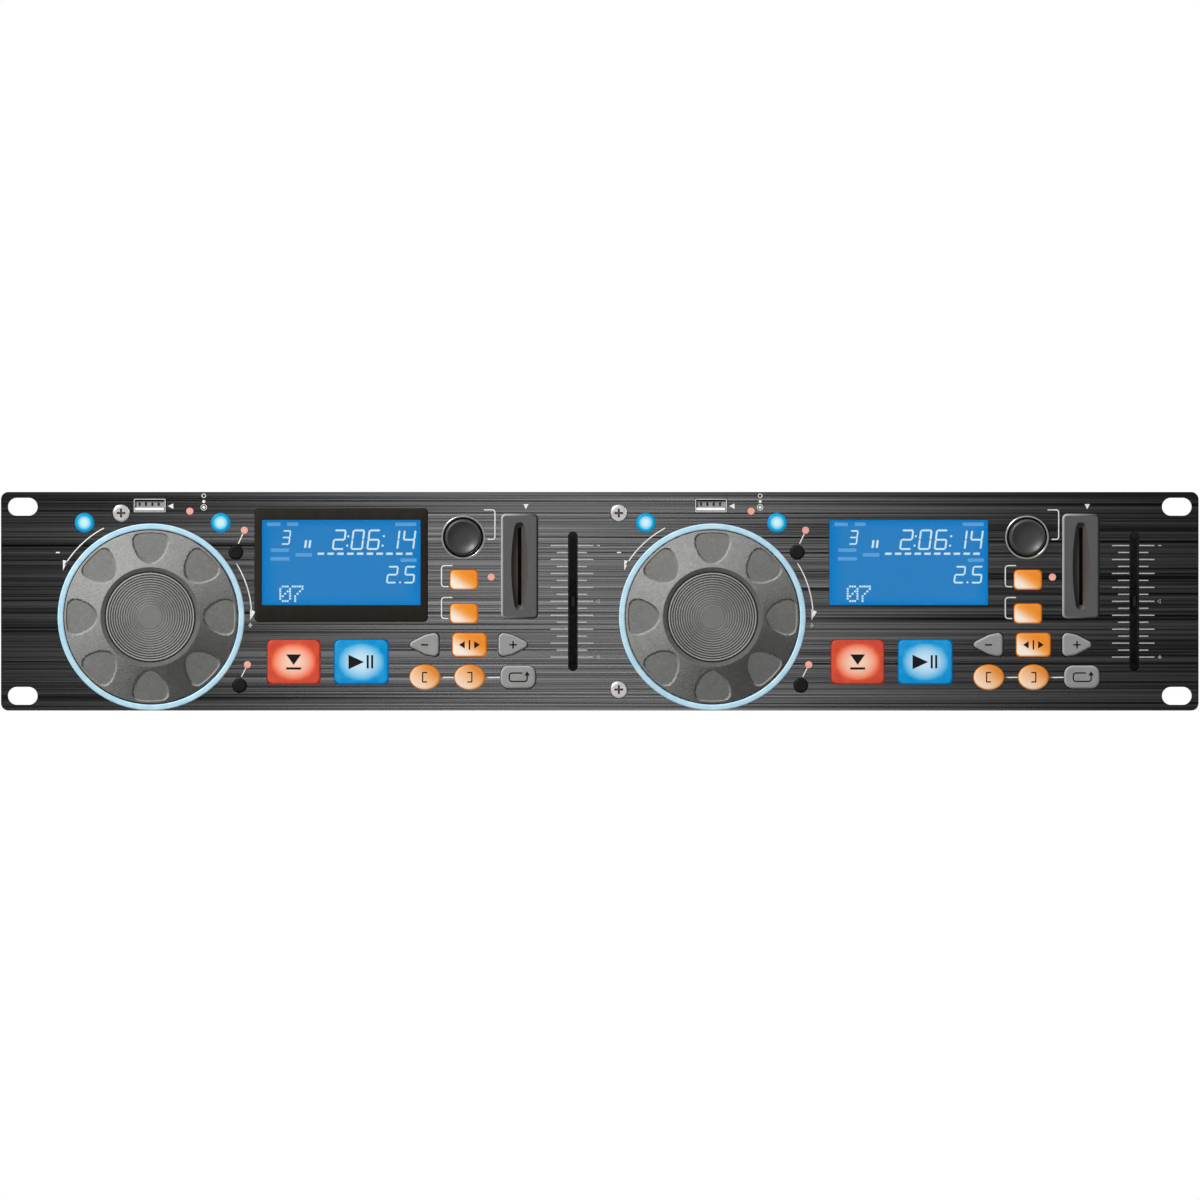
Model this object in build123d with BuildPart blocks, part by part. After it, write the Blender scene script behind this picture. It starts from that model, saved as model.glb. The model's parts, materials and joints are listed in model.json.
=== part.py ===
from build123d import *
import os
from collections import namedtuple

# A two-deck player for a 19 inch rack, two units high, that plays memory sticks and cards.
# Millimetres, +Z up. The origin is the centre of the rack slots, on the rear face of the
# fascia. The user stands at -Y, so a "height" below is a distance in front of that face
# and a negative height lies inside the housing.

# Housing
sheet = 1.0  # steel of the chassis and the cover
wall_foot = 8.0  # foot bent inwards under the sub-panel and the rear panel
ear_width = 19.3  # fascia beyond the chassis at each end
panel_height = 88.1
panel_thick = 3.0
panel_corner = 3.0
rack_slot_edge = 8.75  # slot centre from the fascia's end
rack_slot_rows = 76.2
rack_slot_length = 12.0
rack_slot_width = 7.2
foot_height = 4.05
foot_radius = 7.0
cover_drop = 0.85  # cover's top below the fascia's upper edge
chassis_depth = 110.0

# Deck layout: places along X are counted from the jog wheel's centre
jog_to_side = 40.17  # jog wheel's centre to the chassis side
deck_pitch = 226.19
fader_u = 169.99
fader_to_side = 5.65

inner_width = jog_to_side + deck_pitch + fader_u + fader_to_side
chassis_width = inner_width + 2 * sheet
panel_width = chassis_width + 2 * ear_width
top = panel_height / 2
bottom = -top
floor_z = bottom + foot_height
cover_top = top - cover_drop
tray_top = cover_top - sheet

# Boards and clearances
board_height = -12.0  # front face of the control boards
board_thick = 1.6
gap = 0.2  # loose clearance round a piece that stands still
key_gap = 0.25  # visible gap round a key
slip = 0.05  # radial clearance of a turning or sliding fit
seat = 0.1  # solder or adhesive gap between pieces of one node

# Keys
key_flange = 1.0
key_flange_thick = 1.0
key_corner = 1.3
pill_corner = 3.4
pick_corner = 1.5
pick_belly = 0.9  # share of a pick-shaped key's height that its round belly fills
small_proud = 1.8
main_proud = 2.5
main_travel = 1.0
stem_width = 3.0
switch_width = 6.0
switch_depth = 4.3
stem_entry = 1.0  # part of the stem inside the switch at rest
window_room = 0.6  # sub-panel window round a key's flange

# Jog wheel
jog_z = bottom + 37.76
ring_outer = 37.6
ring_inner = 35.4
ring_proud = 1.7
ring_chamfer = 0.4
ring_leg = 1.8
ring_leg_radius = 36.5
wheel_radius = 34.8
wheel_base = 0.9  # gap from the fascia to the wheel's rim
rim_top = 6.4  # rim edge above the fascia
hub_top = 12.3
hub_radius = 20.0
hub_bevel = 0.9
disc_radius = 17.95
disc_pocket = 18.2
disc_pocket_depth = 2.1
rim_chamfer = 0.5
skin = 2.2
dimple_count = 8
dimple_inner = 21.5
dimple_outer = 33.9
dimple_width = 14.1
dimple_widest = 31.0  # radius at which a dimple is widest
dimple_corner = 2.4
dimple_floor = 5.9  # floor height above the fascia at the outer end
dimple_rise = 2.2  # how far the floor climbs towards the hub
dimple_past = 1.0  # cutter's floor beyond the dimple's ends
boss_wall = 3.0
spindle_tail = 1.5  # spindle beyond the encoder disc
disc_lip_drop = 0.2
disc_lip_width = 0.8
disc_dish = 0.9
spindle_radius = 3.0
bush_radius = 5.9
bush_flange = 9.0
bush_flange_thick = 0.8
bush_length = 9.0
nut_width = 15.0
nut_thick = 2.5
encoder_disc_radius = 20.0
encoder_disc_thick = 0.8
encoder_disc_height = -6.0

# Search knob
knob_radius = 7.4
knob_hole = 8.05
knob_bevel = 0.65
knob_proud = 12.5
knob_edge = 0.9
knob_dish = 1.3  # depth of the finger dish in the knob's front
knob_dish_step = 4.0  # radius where the dish levels out
knob_dish_fall = 0.95  # depth of the dish there
knob_back = -0.4
knob_taper = 0.35
knob_skin = 3.3
shaft_radius = 3.0
plunger_radius = 3.6
plunger_depth = 3.0
plunger_floor = 0.8
knob_travel = 0.6
encoder_width = 12.0
encoder_depth = 6.5
encoder_bush = 4.6
encoder_bush_reach = 4.0
encoder_floor = 0.7

# Display, sockets, lamps and fader
glass_proud = 0.3
lcd_width = 63.9
lcd_height = 34.4
bezel_width = 69.7
bezel_height = 45.7
bezel_corner = 1.8
bezel_drop = 1.03  # bezel's centre below the display's
lcd_corner = 0.5
lcd_foot = 3.0
lcd_foot_inset = (4.0, 3.0)
module_margin = 2.4
module_depth = 8.0
usb_width = 13.0
usb_height = 5.6
usb_wall = 0.35
usb_proud = 0.2
usb_floor = 2.0
tongue_thick = 1.9
tongue_drop = 0.4  # tongue below the shell's inner top
tongue_side = 0.4
tongue_sunk = 1.0
card_plate_width = 15.0
card_plate_height = 42.3
card_plate_proud = 1.0
card_plate_corner = 1.8
card_plate_chamfer = 0.5
card_neck_width = 10.0
card_neck_height = 37.5
card_scoop_width = 7.0
card_scoop_height = 35.5
card_scoop_depth = 1.6
card_slot_width = 2.3
card_slot_height = 31.0
card_width = 24.6
card_depth = 24.0
card_socket_width = 5.0
card_neck_back = -0.5
card_socket_front = card_neck_back - 0.3
lamp_radius = 1.4
lamp_proud = 0.3
board_left = -37.0  # control board's edges from the jog wheel's centre
board_right = 174.79
board_low = bottom + 6.4
board_high = top - 2.3
card_cut_margin = 3.0  # control board's notch round the card socket
card_socket_margin = 1.5
card_socket_end = 2.0
riser_margin = 4.0
riser_depth = 14.0
sensor_offset = 0.5
sensor_size = (9.0, 7.0)
sensor_height = 8.5
sensor_mouth = 0.6
sensor_back = 2.5
fader_travel = 45.0
fader_slot_width = 3.9
fader_slot_height = 56.2
fader_width = 9.0
fader_length = 61.0
fader_depth = 7.0
fader_wall = 1.0
fader_lip = 2.2
fader_run = 0.25  # carriage's clearance in its housing
carriage_length = 10.0
lever_room = 1.0
lever_thick = 1.2
lever_width = 4.0
lever_top = 1.6
# Rear connectors, seen from behind from right to left
inlet_x = 176.0
inlet_z = 6.0
inlet_cavity_x = 24.4
inlet_cavity_z = 16.4
inlet_cavity_depth = 16.0
inlet_depth = 22.0
inlet_corner = 2.0
inlet_flange_x = 62.0
inlet_flange_z = 26.0
inlet_flange_thick = 2.0
inlet_lap_x = 3.0  # flange beyond its opening in the rear wall
inlet_lap_z = 2.0
blade_sunk = 1.5  # blade tips inside the inlet's face
inlet_to_rocker = 27.5
blade_width = 2.0
blade_height = 4.0
blade_spacing = 14.0
blade_row = 4.0  # earth blade above the other two
rocker_width = 12.6
rocker_height = 18.4
rocker_tilt = 9.0
rocker_pocket = 12.0
rocker_sweep = 0.6  # room above and below the rocker
rocker_back = 3.0  # rocker's outline, outwards from its pivot
rocker_shoulder = 1.6
rocker_ends = 3.4
rocker_middle = 1.9
rocker_waist = 0.55
rocker_pin = 1.25
rocker_pin_reach = 1.0
rocker_sink = 2.5  # pivot inside the switch frame's outer face
JACK_ROWS = [-26.0, -12.0]
JACK_COLUMNS = [-120.0, -60.0]
START_COLUMNS = [-100.0, -40.0]
jack_radius = 4.15
jack_reach = 8.0
jack_socket = 1.65
jack_hole = 4.5
jack_depth = 2.0  # centre hole behind the rear wall
jack_collar = 5.6  # insulating collar on the rear wall
jack_collar_thick = 1.0
jack_block_width = 11.0
jack_block_depth = 10.0
jack_block_top = 6.0  # block above the upper jack's centre
start_radius = 3.0
start_bore = 1.8
start_depth = 14.0
start_reach = 1.5
start_block_width = 8.0
start_block_top = 4.0

# Boards on the chassis floor, places as (x, y)
pcb_z = -34.0  # underside of both boards
floor_standoff_radius = 3.0
main_board_size = (200.0, 62.0)
main_board_y = chassis_depth - 40.0
main_board_place = (-85.0, main_board_y)
supply_size = (138.0, 54.0)
supply_place = (133.0, 51.0)
FLOOR_STANDOFFS = [
    (-180.0, main_board_y - 25.0), (-180.0, main_board_y + 25.0),
    (10.0, main_board_y - 25.0), (10.0, main_board_y + 25.0),
    (70.0, 30.0), (70.0, 72.0), (196.0, 30.0), (196.0, 72.0),
]
chip_size = 20.0
chip_height = 1.6
CHIPS = [(-120.0, main_board_y - 8.0), (-60.0, main_board_y - 8.0)]
header_size = (26.0, 6.0)
header_height = 9.0
HEADERS = [(-90.0, main_board_y - 25.0), (-30.0, main_board_y - 25.0)]
transformer_size = (34.0, 30.0)
transformer_height = 28.0
transformer_place = (92.0, 50.0)
capacitor_radius = 7.5
capacitor_height = 25.0
CAPACITORS = [(125.0, 42.0), (145.0, 42.0)]
heat_sink_size = (3.0, 36.0)
heat_sink_height = 30.0
heat_sink_place = (165.0, 60.0)

# Cover, feet and screws
cover_flange = 20.0
cover_screw_drop = 11.0  # cover screws below the cover's top
cover_screw_radius = 1.45
cover_screw_length = 5.0
cover_head_radius = 2.8
cover_head_height = 1.6
COVER_SCREW_ROWS = [18.0, chassis_depth / 2, chassis_depth - 18.0]
vent_count = 8
vent_pitch = 9.0
vent_width = 3.2
vent_length = 42.0
VENT_GROUPS = [(-110.0, 62.0), (110.0, 62.0)]
foot_taper = 6.0
FEET = [(side * 188.0, y) for side in (-1, 1) for y in (20.0, chassis_depth - 18.0)]
screw_head = 3.6
screw_head_height = 2.0
screw_rim = 1.1
screw_crown = 2.2
screw_radius = 1.95
screw_length = 8.0
screw_boss = 3.3
screw_boss_depth = 3.0

Key = namedtuple("Key", "name u z width height form shift")
Deck = namedtuple("Deck", "name jog_x shifts")

left_jog_x = -inner_width / 2 + jog_to_side
NO_SHIFT = {"deck": 0.0, "mode": 0.0, "keys": 0.0, "display": 0.0}
RIGHT_SHIFT = {"deck": 0.0, "mode": -2.0, "keys": 1.0, "display": 2.5}
DECKS = [
    Deck("left", left_jog_x, NO_SHIFT),
    Deck("right", left_jog_x + deck_pitch, RIGHT_SHIFT),
]

round_key = 7.5
dot_key = 5.5
KEYS = [
    Key("source_button", -26.86, top - 12.35, round_key, round_key, "round", "deck"),
    Key("mode_button", 28.02, top - 12.35, round_key, round_key, "round", "mode"),
    Key("brake_button", 34.19, top - 24.31, dot_key, dot_key, "round", "deck"),
    Key("reverse_button", 35.64, bottom + 10.12, dot_key, dot_key, "round", "deck"),
    Key("cue_button", 57.5, bottom + 19.65, 21.2, 17.7, "block", "keys"),
    Key("play_button", 84.76, bottom + 19.65, 21.6, 17.7, "block", "keys"),
    Key("single_button", 126.11, top - 35.37, 11.0, 7.7, "block", "keys"),
    Key("time_button", 126.11, top - 48.97, 11.0, 7.7, "block", "keys"),
    Key("pitch_button", 128.32, bottom + 26.52, 13.6, 9.25, "block", "keys"),
    Key("minus_button", 110.25, bottom + 26.52, 11.6, 9.3, "pick_left", "keys"),
    Key("plus_button", 145.87, bottom + 26.52, 11.6, 9.3, "pick_right", "keys"),
    Key("loop_in_button", 110.35, bottom + 13.47, 12.1, 9.9, "oval", "keys"),
    Key("loop_out_button", 128.36, bottom + 13.47, 12.1, 9.9, "oval", "keys"),
    Key("reloop_button", 147.95, bottom + 13.47, 14.2, 9.3, "pill", "keys"),
]
MAIN_KEYS = ("cue_button", "play_button")

# Lamps, sockets and the knob: name to (u, z)
usb_place = (-0.55, top - 5.45)
usb_lamp = (15.61, top - 7.71)
brake_lamp = (37.57, top - 15.4)
reverse_lamp = (38.82, bottom + 18.5)
card_lamp = (137.03, top - 34.3)
LAMPS = [usb_lamp, brake_lamp, reverse_lamp, card_lamp]
knob_place = (125.78, top - 18.3)
display_place = (76.62, top - 28.42)
card_place = (148.51, top - 29.95)

# Holders of a control board, as (u, z)
standoff_radius = 2.3
STANDOFFS = [
    (-33.2, jog_z + 18.3), (-33.2, bottom + 10.0), (33.3, jog_z + 11.3),
    (100.3, bottom + 32.75), (161.1, top - 19.0), (161.1, bottom + 22.0),
]

# Fascia screws: the upper left one, and the pair between the decks
screw_from_top = 8.5
side_screw_x = left_jog_x - 12.03
middle_screw_x = left_jog_x + deck_pitch - 37.7
PANEL_SCREWS = [
    (side_screw_x, top - screw_from_top),
    (middle_screw_x, top - screw_from_top),
    (middle_screw_x, bottom + screw_from_top),
]


def facing(height):
    """Sketch plane in front of the fascia's rear face: sketch x is X and sketch y is Z."""
    return Plane.XZ.offset(height)


def half_section(x, z):
    """Plane through a turned piece's axis: sketch x is the radius and sketch y the height."""
    return Plane(origin=(x, 0, z), x_dir=(1, 0, 0), z_dir=(0, 0, -1))


def turning_axis(x, z):
    """Axis of a turned piece, pointing at the user."""
    return Axis((x, 0, z), (0, -1, 0))


def save(piece, name):
    """Labels a finished piece and writes its file."""
    piece.part.label = name
    export_step(piece.part, f"parts/{name}.step")


def key_at(deck, key):
    """Centre of a key on the fascia."""
    return deck.jog_x + key.u + deck.shifts[key.shift], key.z


def spot(deck, place, shift="deck"):
    """Centre on the fascia of a lamp, socket or knob."""
    return deck.jog_x + place[0] + deck.shifts[shift], place[1]


def pick_face(width, height, grow, side):
    """Outline of a pick-shaped key whose point lies at side +1 or -1."""
    belly = height / 2 * pick_belly
    blunt_x = -side * (width / 2 - pick_corner)
    with BuildSketch() as pick:
        with Locations([(blunt_x, z * (height / 2 - pick_corner)) for z in (-1, 1)]):
            Circle(pick_corner + grow)
        with Locations((-side * (width / 2 - belly), 0)):
            Circle(belly + grow)
        with Locations((side * (width / 2 - pick_corner), 0)):
            Circle(pick_corner + grow)
        make_hull()
    return pick.sketch


def key_face(key, grow=0.0):
    """A key's outline about the origin, grown all round."""
    if key.form.startswith("pick"):
        return pick_face(key.width, key.height, grow, -1 if key.form == "pick_left" else 1)
    with BuildSketch() as face:
        if key.form == "round":
            Circle(key.width / 2 + grow)
        elif key.form == "oval":
            Ellipse(key.width / 2 + grow, key.height / 2 + grow)
        else:
            corner = (pill_corner if key.form == "pill" else key_corner) + grow
            RectangleRounded(key.width + 2 * grow, key.height + 2 * grow, corner)
    return face.sketch


def key_room(deck, key):
    """Edges of the sub-panel window that one key's flange needs."""
    x, z = key_at(deck, key)
    half_x = key.width / 2 + key_flange + window_room
    half_z = key.height / 2 + key_flange + window_room
    return x - half_x, x + half_x, z - half_z, z + half_z


def lamp_room(deck, place):
    """Edges of the sub-panel window that one lamp needs."""
    x, z = spot(deck, place)
    half = lamp_radius + window_room
    return x - half, x + half, z - half, z + half


def around(rooms):
    """Edges of the smallest window that holds the given ones."""
    lows_x, highs_x, lows_z, highs_z = zip(*rooms)
    return min(lows_x), max(highs_x), min(lows_z), max(highs_z)


def card_room(deck):
    x, z = spot(deck, card_place)
    half_x = card_neck_width / 2 + window_room
    half_z = card_neck_height / 2 + window_room
    return x - half_x, x + half_x, z - half_z, z + half_z


def knob_room(deck):
    x, z = spot(deck, knob_place, "keys")
    half = knob_hole + window_room
    return x - half, x + half, z - half, z + half


def module_room(deck):
    x, z = spot(deck, display_place, "display")
    half_x = lcd_width / 2 + module_margin + window_room
    half_z = lcd_height / 2 + module_margin + window_room
    return x - half_x, x + half_x, z - half_z, z + half_z


def usb_room(deck):
    x, z = spot(deck, usb_place)
    half_x = usb_width / 2 + window_room
    return x - half_x, x + half_x, z - usb_height / 2 - window_room, tray_top + sheet


def fader_room(deck):
    x = deck.jog_x + fader_u
    half_x = fader_slot_width / 2 + window_room
    half_z = fader_slot_height / 2 + window_room
    return x - half_x, x + half_x, -half_z, half_z


def leg_places(deck):
    """Centres of the light ring's four legs."""
    reach = ring_leg_radius * 0.5**0.5
    return [(deck.jog_x + sx * reach, jog_z + sz * reach) for sx in (-1, 1) for sz in (-1, 1)]


def rooms_of_deck(deck):
    """Every window of the sub-panel for one deck."""
    room = {key.name: key_room(deck, key) for key in KEYS}
    brake = around([room["brake_button"], lamp_room(deck, brake_lamp)])
    reverse = around([room["reverse_button"], lamp_room(deck, reverse_lamp)])
    memory = around([usb_room(deck), lamp_room(deck, usb_lamp)])
    search = around([knob_room(deck), room["single_button"], room["time_button"]])
    card = around([card_room(deck), lamp_room(deck, card_lamp)])
    play = around([room["cue_button"], room["play_button"]])
    pitch_names = ("pitch", "minus", "plus", "loop_in", "loop_out", "reloop")
    pitch = around([room[f"{name}_button"] for name in pitch_names])
    half_leg = ring_leg / 2 + window_room
    legs = [(x - half_leg, x + half_leg, z - half_leg, z + half_leg) for x, z in leg_places(deck)]
    single = [room["source_button"], room["mode_button"], module_room(deck), fader_room(deck)]
    return [brake, reverse, memory, around([search, card]), play, pitch, *single, *legs]


def make_front_panel():
    """Fascia plate with every cut-out, and a bright bevel round each search knob."""
    slots_x = panel_width - 2 * rack_slot_edge
    cutouts = [(key_face(key, key_gap), key_at(deck, key)) for deck in DECKS for key in KEYS]
    with BuildPart() as front_panel:
        with BuildSketch(facing(0)):
            RectangleRounded(panel_width, panel_height, panel_corner)
            with GridLocations(slots_x, rack_slot_rows, 2, 2):
                SlotOverall(rack_slot_length, rack_slot_width, mode=Mode.SUBTRACT)
            with Locations(PANEL_SCREWS):
                Circle(screw_radius + gap, mode=Mode.SUBTRACT)
            for face, place in cutouts:
                with Locations(place):
                    add(face, mode=Mode.SUBTRACT)
            for deck in DECKS:
                with Locations([spot(deck, place) for place in LAMPS]):
                    Circle(lamp_radius + slip, mode=Mode.SUBTRACT)
                with Locations((deck.jog_x, jog_z)):
                    Circle(bush_radius + slip, mode=Mode.SUBTRACT)
                with Locations(spot(deck, knob_place, "keys")):
                    Circle(knob_hole, mode=Mode.SUBTRACT)
                with Locations(leg_places(deck)):
                    Rectangle(ring_leg + gap, ring_leg + gap, mode=Mode.SUBTRACT)
                with Locations(spot(deck, usb_place)):
                    Rectangle(usb_width + gap, usb_height + gap, mode=Mode.SUBTRACT)
                with Locations(spot(deck, card_place)):
                    Rectangle(card_neck_width + gap, card_neck_height + gap, mode=Mode.SUBTRACT)
                with Locations((deck.jog_x + fader_u, 0)):
                    Rectangle(fader_slot_width, fader_slot_height, mode=Mode.SUBTRACT)
                width, height, corner, x, z = window_size(deck)
                with Locations((x, z)):
                    RectangleRounded(width + gap, height + gap, corner, mode=Mode.SUBTRACT)
        extrude(amount=panel_thick)
        front = front_panel.faces().sort_by(Axis.Y)[0]
        knob_edges = front.edges().filter_by(GeomType.CIRCLE)
        knob_edges = knob_edges.filter_by(lambda edge: abs(edge.radius - knob_hole) < slip)
        chamfer(knob_edges, knob_bevel)
    save(front_panel, "front_panel")


def window_size(deck):
    """Width, height, corner and centre of a display window; the left one has a wide frame."""
    x, z = spot(deck, display_place, "display")
    if deck.name == "left":
        return bezel_width, bezel_height, bezel_corner, x, z - bezel_drop
    return lcd_width, lcd_height, lcd_corner, x, z


def standoff_places(deck):
    """Where one control board is held, between the windows of the sub-panel."""
    return [(deck.jog_x + u, z) for u, z in STANDOFFS]


def make_chassis():
    """Steel tray: floor and side walls, with the holders of the floor boards."""
    outer = chassis_width / 2
    inner = outer - sheet
    rows = [(y, cover_top - cover_screw_drop) for y in COVER_SCREW_ROWS]
    with BuildPart() as chassis:
        with BuildSketch(facing(0)):
            with BuildLine():
                Polyline((-outer, tray_top), (-outer, floor_z), (outer, floor_z),
                         (outer, tray_top), (inner, tray_top), (inner, floor_z + sheet),
                         (-inner, floor_z + sheet), (-inner, tray_top), close=True)
            make_face()
        extrude(amount=-chassis_depth)
        with BuildSketch(Plane.YZ.offset(-outer)):
            with Locations(rows):
                Circle(cover_screw_radius + slip)
        extrude(amount=chassis_width, mode=Mode.SUBTRACT)
        with BuildSketch(Plane.XY.offset(floor_z + sheet)):
            with Locations(FLOOR_STANDOFFS):
                RegularPolygon(floor_standoff_radius, 6)
        extrude(amount=pcb_z - floor_z - sheet)
    save(chassis, "chassis")


def cross_wall(front):
    """Sheet across the tray with a foot bent inwards; front is the height of its front face."""
    width = inner_width - 2 * seat
    low = floor_z + sheet + seat
    inwards = -1 if front == 0 else 1
    foot_start = front - sheet if front == 0 else front
    with BuildPart() as wall:
        with BuildSketch(facing(front)):
            with Locations((0, (low + tray_top) / 2)):
                Rectangle(width, tray_top - low)
        extrude(amount=-sheet)
        with BuildSketch(facing(foot_start)):
            with Locations((0, low + sheet / 2)):
                Rectangle(width, sheet)
        extrude(amount=inwards * wall_foot)
    return wall.part


def make_sub_panel():
    """Wall behind the fascia with a window for each control and the control boards' holders."""
    with BuildPart() as sub_panel:
        add(cross_wall(0))
        with BuildSketch(facing(0)):
            for deck in DECKS:
                for x_low, x_high, z_low, z_high in rooms_of_deck(deck):
                    with Locations(((x_low + x_high) / 2, (z_low + z_high) / 2)):
                        Rectangle(x_high - x_low, z_high - z_low)
                with Locations((deck.jog_x, jog_z)):
                    Circle(bush_radius + slip)
            with Locations(PANEL_SCREWS):
                Circle(screw_radius + gap)
        extrude(amount=-sheet, mode=Mode.SUBTRACT)
        with BuildSketch(facing(-sheet)):
            with Locations(PANEL_SCREWS):
                Circle(screw_boss)
                Circle(screw_radius + gap, mode=Mode.SUBTRACT)
        extrude(amount=-screw_boss_depth)
        with BuildSketch(facing(-sheet)):
            for deck in DECKS:
                with Locations(standoff_places(deck)):
                    RegularPolygon(standoff_radius, 6)
        extrude(amount=board_height + sheet)
    save(sub_panel, "sub_panel")


def make_rear_panel():
    """Rear wall with the holes of its connectors."""
    with BuildPart() as rear_panel:
        add(cross_wall(sheet - chassis_depth))
        with BuildSketch(facing(-chassis_depth)):
            with Locations([(x, z) for x in JACK_COLUMNS for z in JACK_ROWS]):
                Circle(jack_hole)
            with Locations([(x, JACK_ROWS[0]) for x in START_COLUMNS]):
                Circle(start_radius + gap)
            with Locations((inlet_x - inlet_to_rocker / 2, inlet_z)):
                Rectangle(inlet_flange_x - 2 * inlet_lap_x, inlet_flange_z - 2 * inlet_lap_z)
        extrude(amount=sheet, mode=Mode.SUBTRACT)
    save(rear_panel, "rear_panel")


def make_top_cover():
    """Folded cover with two groups of vent slots."""
    width = chassis_width + 2 * sheet + 2 * seat
    with BuildPart() as top_cover:
        with BuildSketch(Plane.XZ.offset(-gap)):
            with BuildLine():
                outer = width / 2
                inner = outer - sheet
                low = cover_top - cover_flange
                Polyline(
                    (-outer, low), (-outer, cover_top), (outer, cover_top), (outer, low),
                    (inner, low), (inner, tray_top), (-inner, tray_top), (-inner, low),
                    close=True,
                )
            make_face()
        extrude(amount=gap - chassis_depth)
        bends = top_cover.edges().filter_by(Axis.Y).group_by(Axis.Z)[-1]
        chamfer(bends, sheet / 2)
        with BuildSketch(Plane.XY.offset(cover_top)):
            with Locations(VENT_GROUPS):
                with GridLocations(vent_pitch, 0, vent_count, 1):
                    Rectangle(vent_width, vent_length)
        extrude(amount=-sheet, mode=Mode.SUBTRACT)
        with BuildSketch(Plane.YZ.offset(-width / 2)):
            with Locations([(y, cover_top - cover_screw_drop) for y in COVER_SCREW_ROWS]):
                Circle(cover_screw_radius + gap)
        extrude(amount=width, mode=Mode.SUBTRACT)
    save(top_cover, "top_cover")


def make_cover_screws():
    """Six pan-head screws through the cover's side flanges."""
    head_x = chassis_width / 2 + sheet + seat
    rows = [(y, cover_top - cover_screw_drop) for y in COVER_SCREW_ROWS]
    with BuildPart() as cover_screws:
        for side in (-1, 1):
            with BuildSketch(Plane.YZ.offset(side * head_x)):
                with Locations(rows):
                    Circle(cover_head_radius)
            extrude(amount=side * cover_head_height)
            with BuildSketch(Plane.YZ.offset(side * head_x)):
                with Locations(rows):
                    Circle(cover_screw_radius)
            extrude(amount=-side * cover_screw_length)
    save(cover_screws, "cover_screws")


def make_rubber_feet():
    """Four feet that reach down to the fascia's lower edge."""
    with BuildPart() as rubber_feet:
        with BuildSketch(Plane.XY.offset(floor_z)):
            with Locations(FEET):
                Circle(foot_radius)
        extrude(amount=-foot_height, taper=foot_taper)
    save(rubber_feet, "rubber_feet")


def make_panel_screws():
    """Three pan-head screws that hold the fascia to the sub-panel."""
    crown = panel_thick + screw_head_height
    with BuildPart() as panel_screws:
        for x, z in PANEL_SCREWS:
            with BuildSketch(half_section(x, z)):
                with BuildLine():
                    Polyline((0, panel_thick), (screw_head, panel_thick),
                             (screw_head, panel_thick + screw_rim), (screw_crown, crown),
                             (0, crown), close=True)
                make_face()
            revolve(axis=turning_axis(x, z))
            with BuildSketch(facing(panel_thick)):
                with Locations((x, z)):
                    Circle(screw_radius)
            extrude(amount=-screw_length)
    save(panel_screws, "panel_screws")


def make_key(deck, key):
    """Key cap with a flange behind the fascia and a stem that works a switch."""
    x, z = key_at(deck, key)
    proud = main_proud if key.name in MAIN_KEYS else small_proud
    face = key_face(key)
    flange_front = -slip
    flange_back = flange_front - key_flange_thick
    stem_end = board_height + switch_depth - stem_entry
    with BuildPart() as button:
        with BuildSketch(facing(flange_back)):
            with Locations((x, z)):
                Rectangle(key.width + 2 * key_flange, key.height + 2 * key_flange)
        extrude(amount=key_flange_thick)
        with BuildSketch(facing(flange_front)):
            with Locations((x, z)):
                add(face)
        extrude(amount=panel_thick + proud - flange_front)
        with BuildSketch(facing(flange_back)):
            with Locations((x, z)):
                Rectangle(stem_width, stem_width)
        extrude(amount=stem_end - flange_back)
    save(button, f"{deck.name}_{key.name}")


def plunger_height():
    """Height of the plunger's rear face at rest, a full push above the encoder's floor."""
    return board_height + seat + encoder_floor + gap + knob_travel


def make_search_knob(deck):
    """Knob with the shaft that carries it, and the push plunger in the encoder."""
    x, z = spot(deck, knob_place, "keys")
    crown = panel_thick + knob_proud
    side = knob_radius - knob_taper
    dish = crown - knob_dish
    shaft_top = dish - knob_skin
    plunger_back = plunger_height()
    shaft_end = plunger_back + plunger_floor
    with BuildPart() as knob:
        with BuildSketch(half_section(x, z)):
            with BuildLine():
                Polyline((shaft_radius + slip, knob_back), (knob_radius, knob_back),
                         (side, crown - knob_edge), (side - knob_edge, crown),
                         (knob_dish_step, crown - knob_dish_fall), (0, dish),
                         (0, shaft_top + gap), (shaft_radius + slip, shaft_top + gap), close=True)
            make_face()
        revolve(axis=turning_axis(x, z))
        with BuildSketch(facing(shaft_end)):
            with Locations((x, z)):
                Circle(shaft_radius)
        extrude(amount=shaft_top - shaft_end)
    save(knob, f"{deck.name}_search_knob")
    with BuildPart() as plunger:
        with BuildSketch(facing(plunger_back)):
            with Locations((x, z)):
                Circle(plunger_radius)
        extrude(amount=plunger_depth + plunger_floor)
        with BuildSketch(facing(shaft_end - slip)):
            with Locations((x, z)):
                Circle(shaft_radius + slip)
        extrude(amount=plunger_depth + plunger_floor, mode=Mode.SUBTRACT)
    save(plunger, f"{deck.name}_encoder_plunger")


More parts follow.
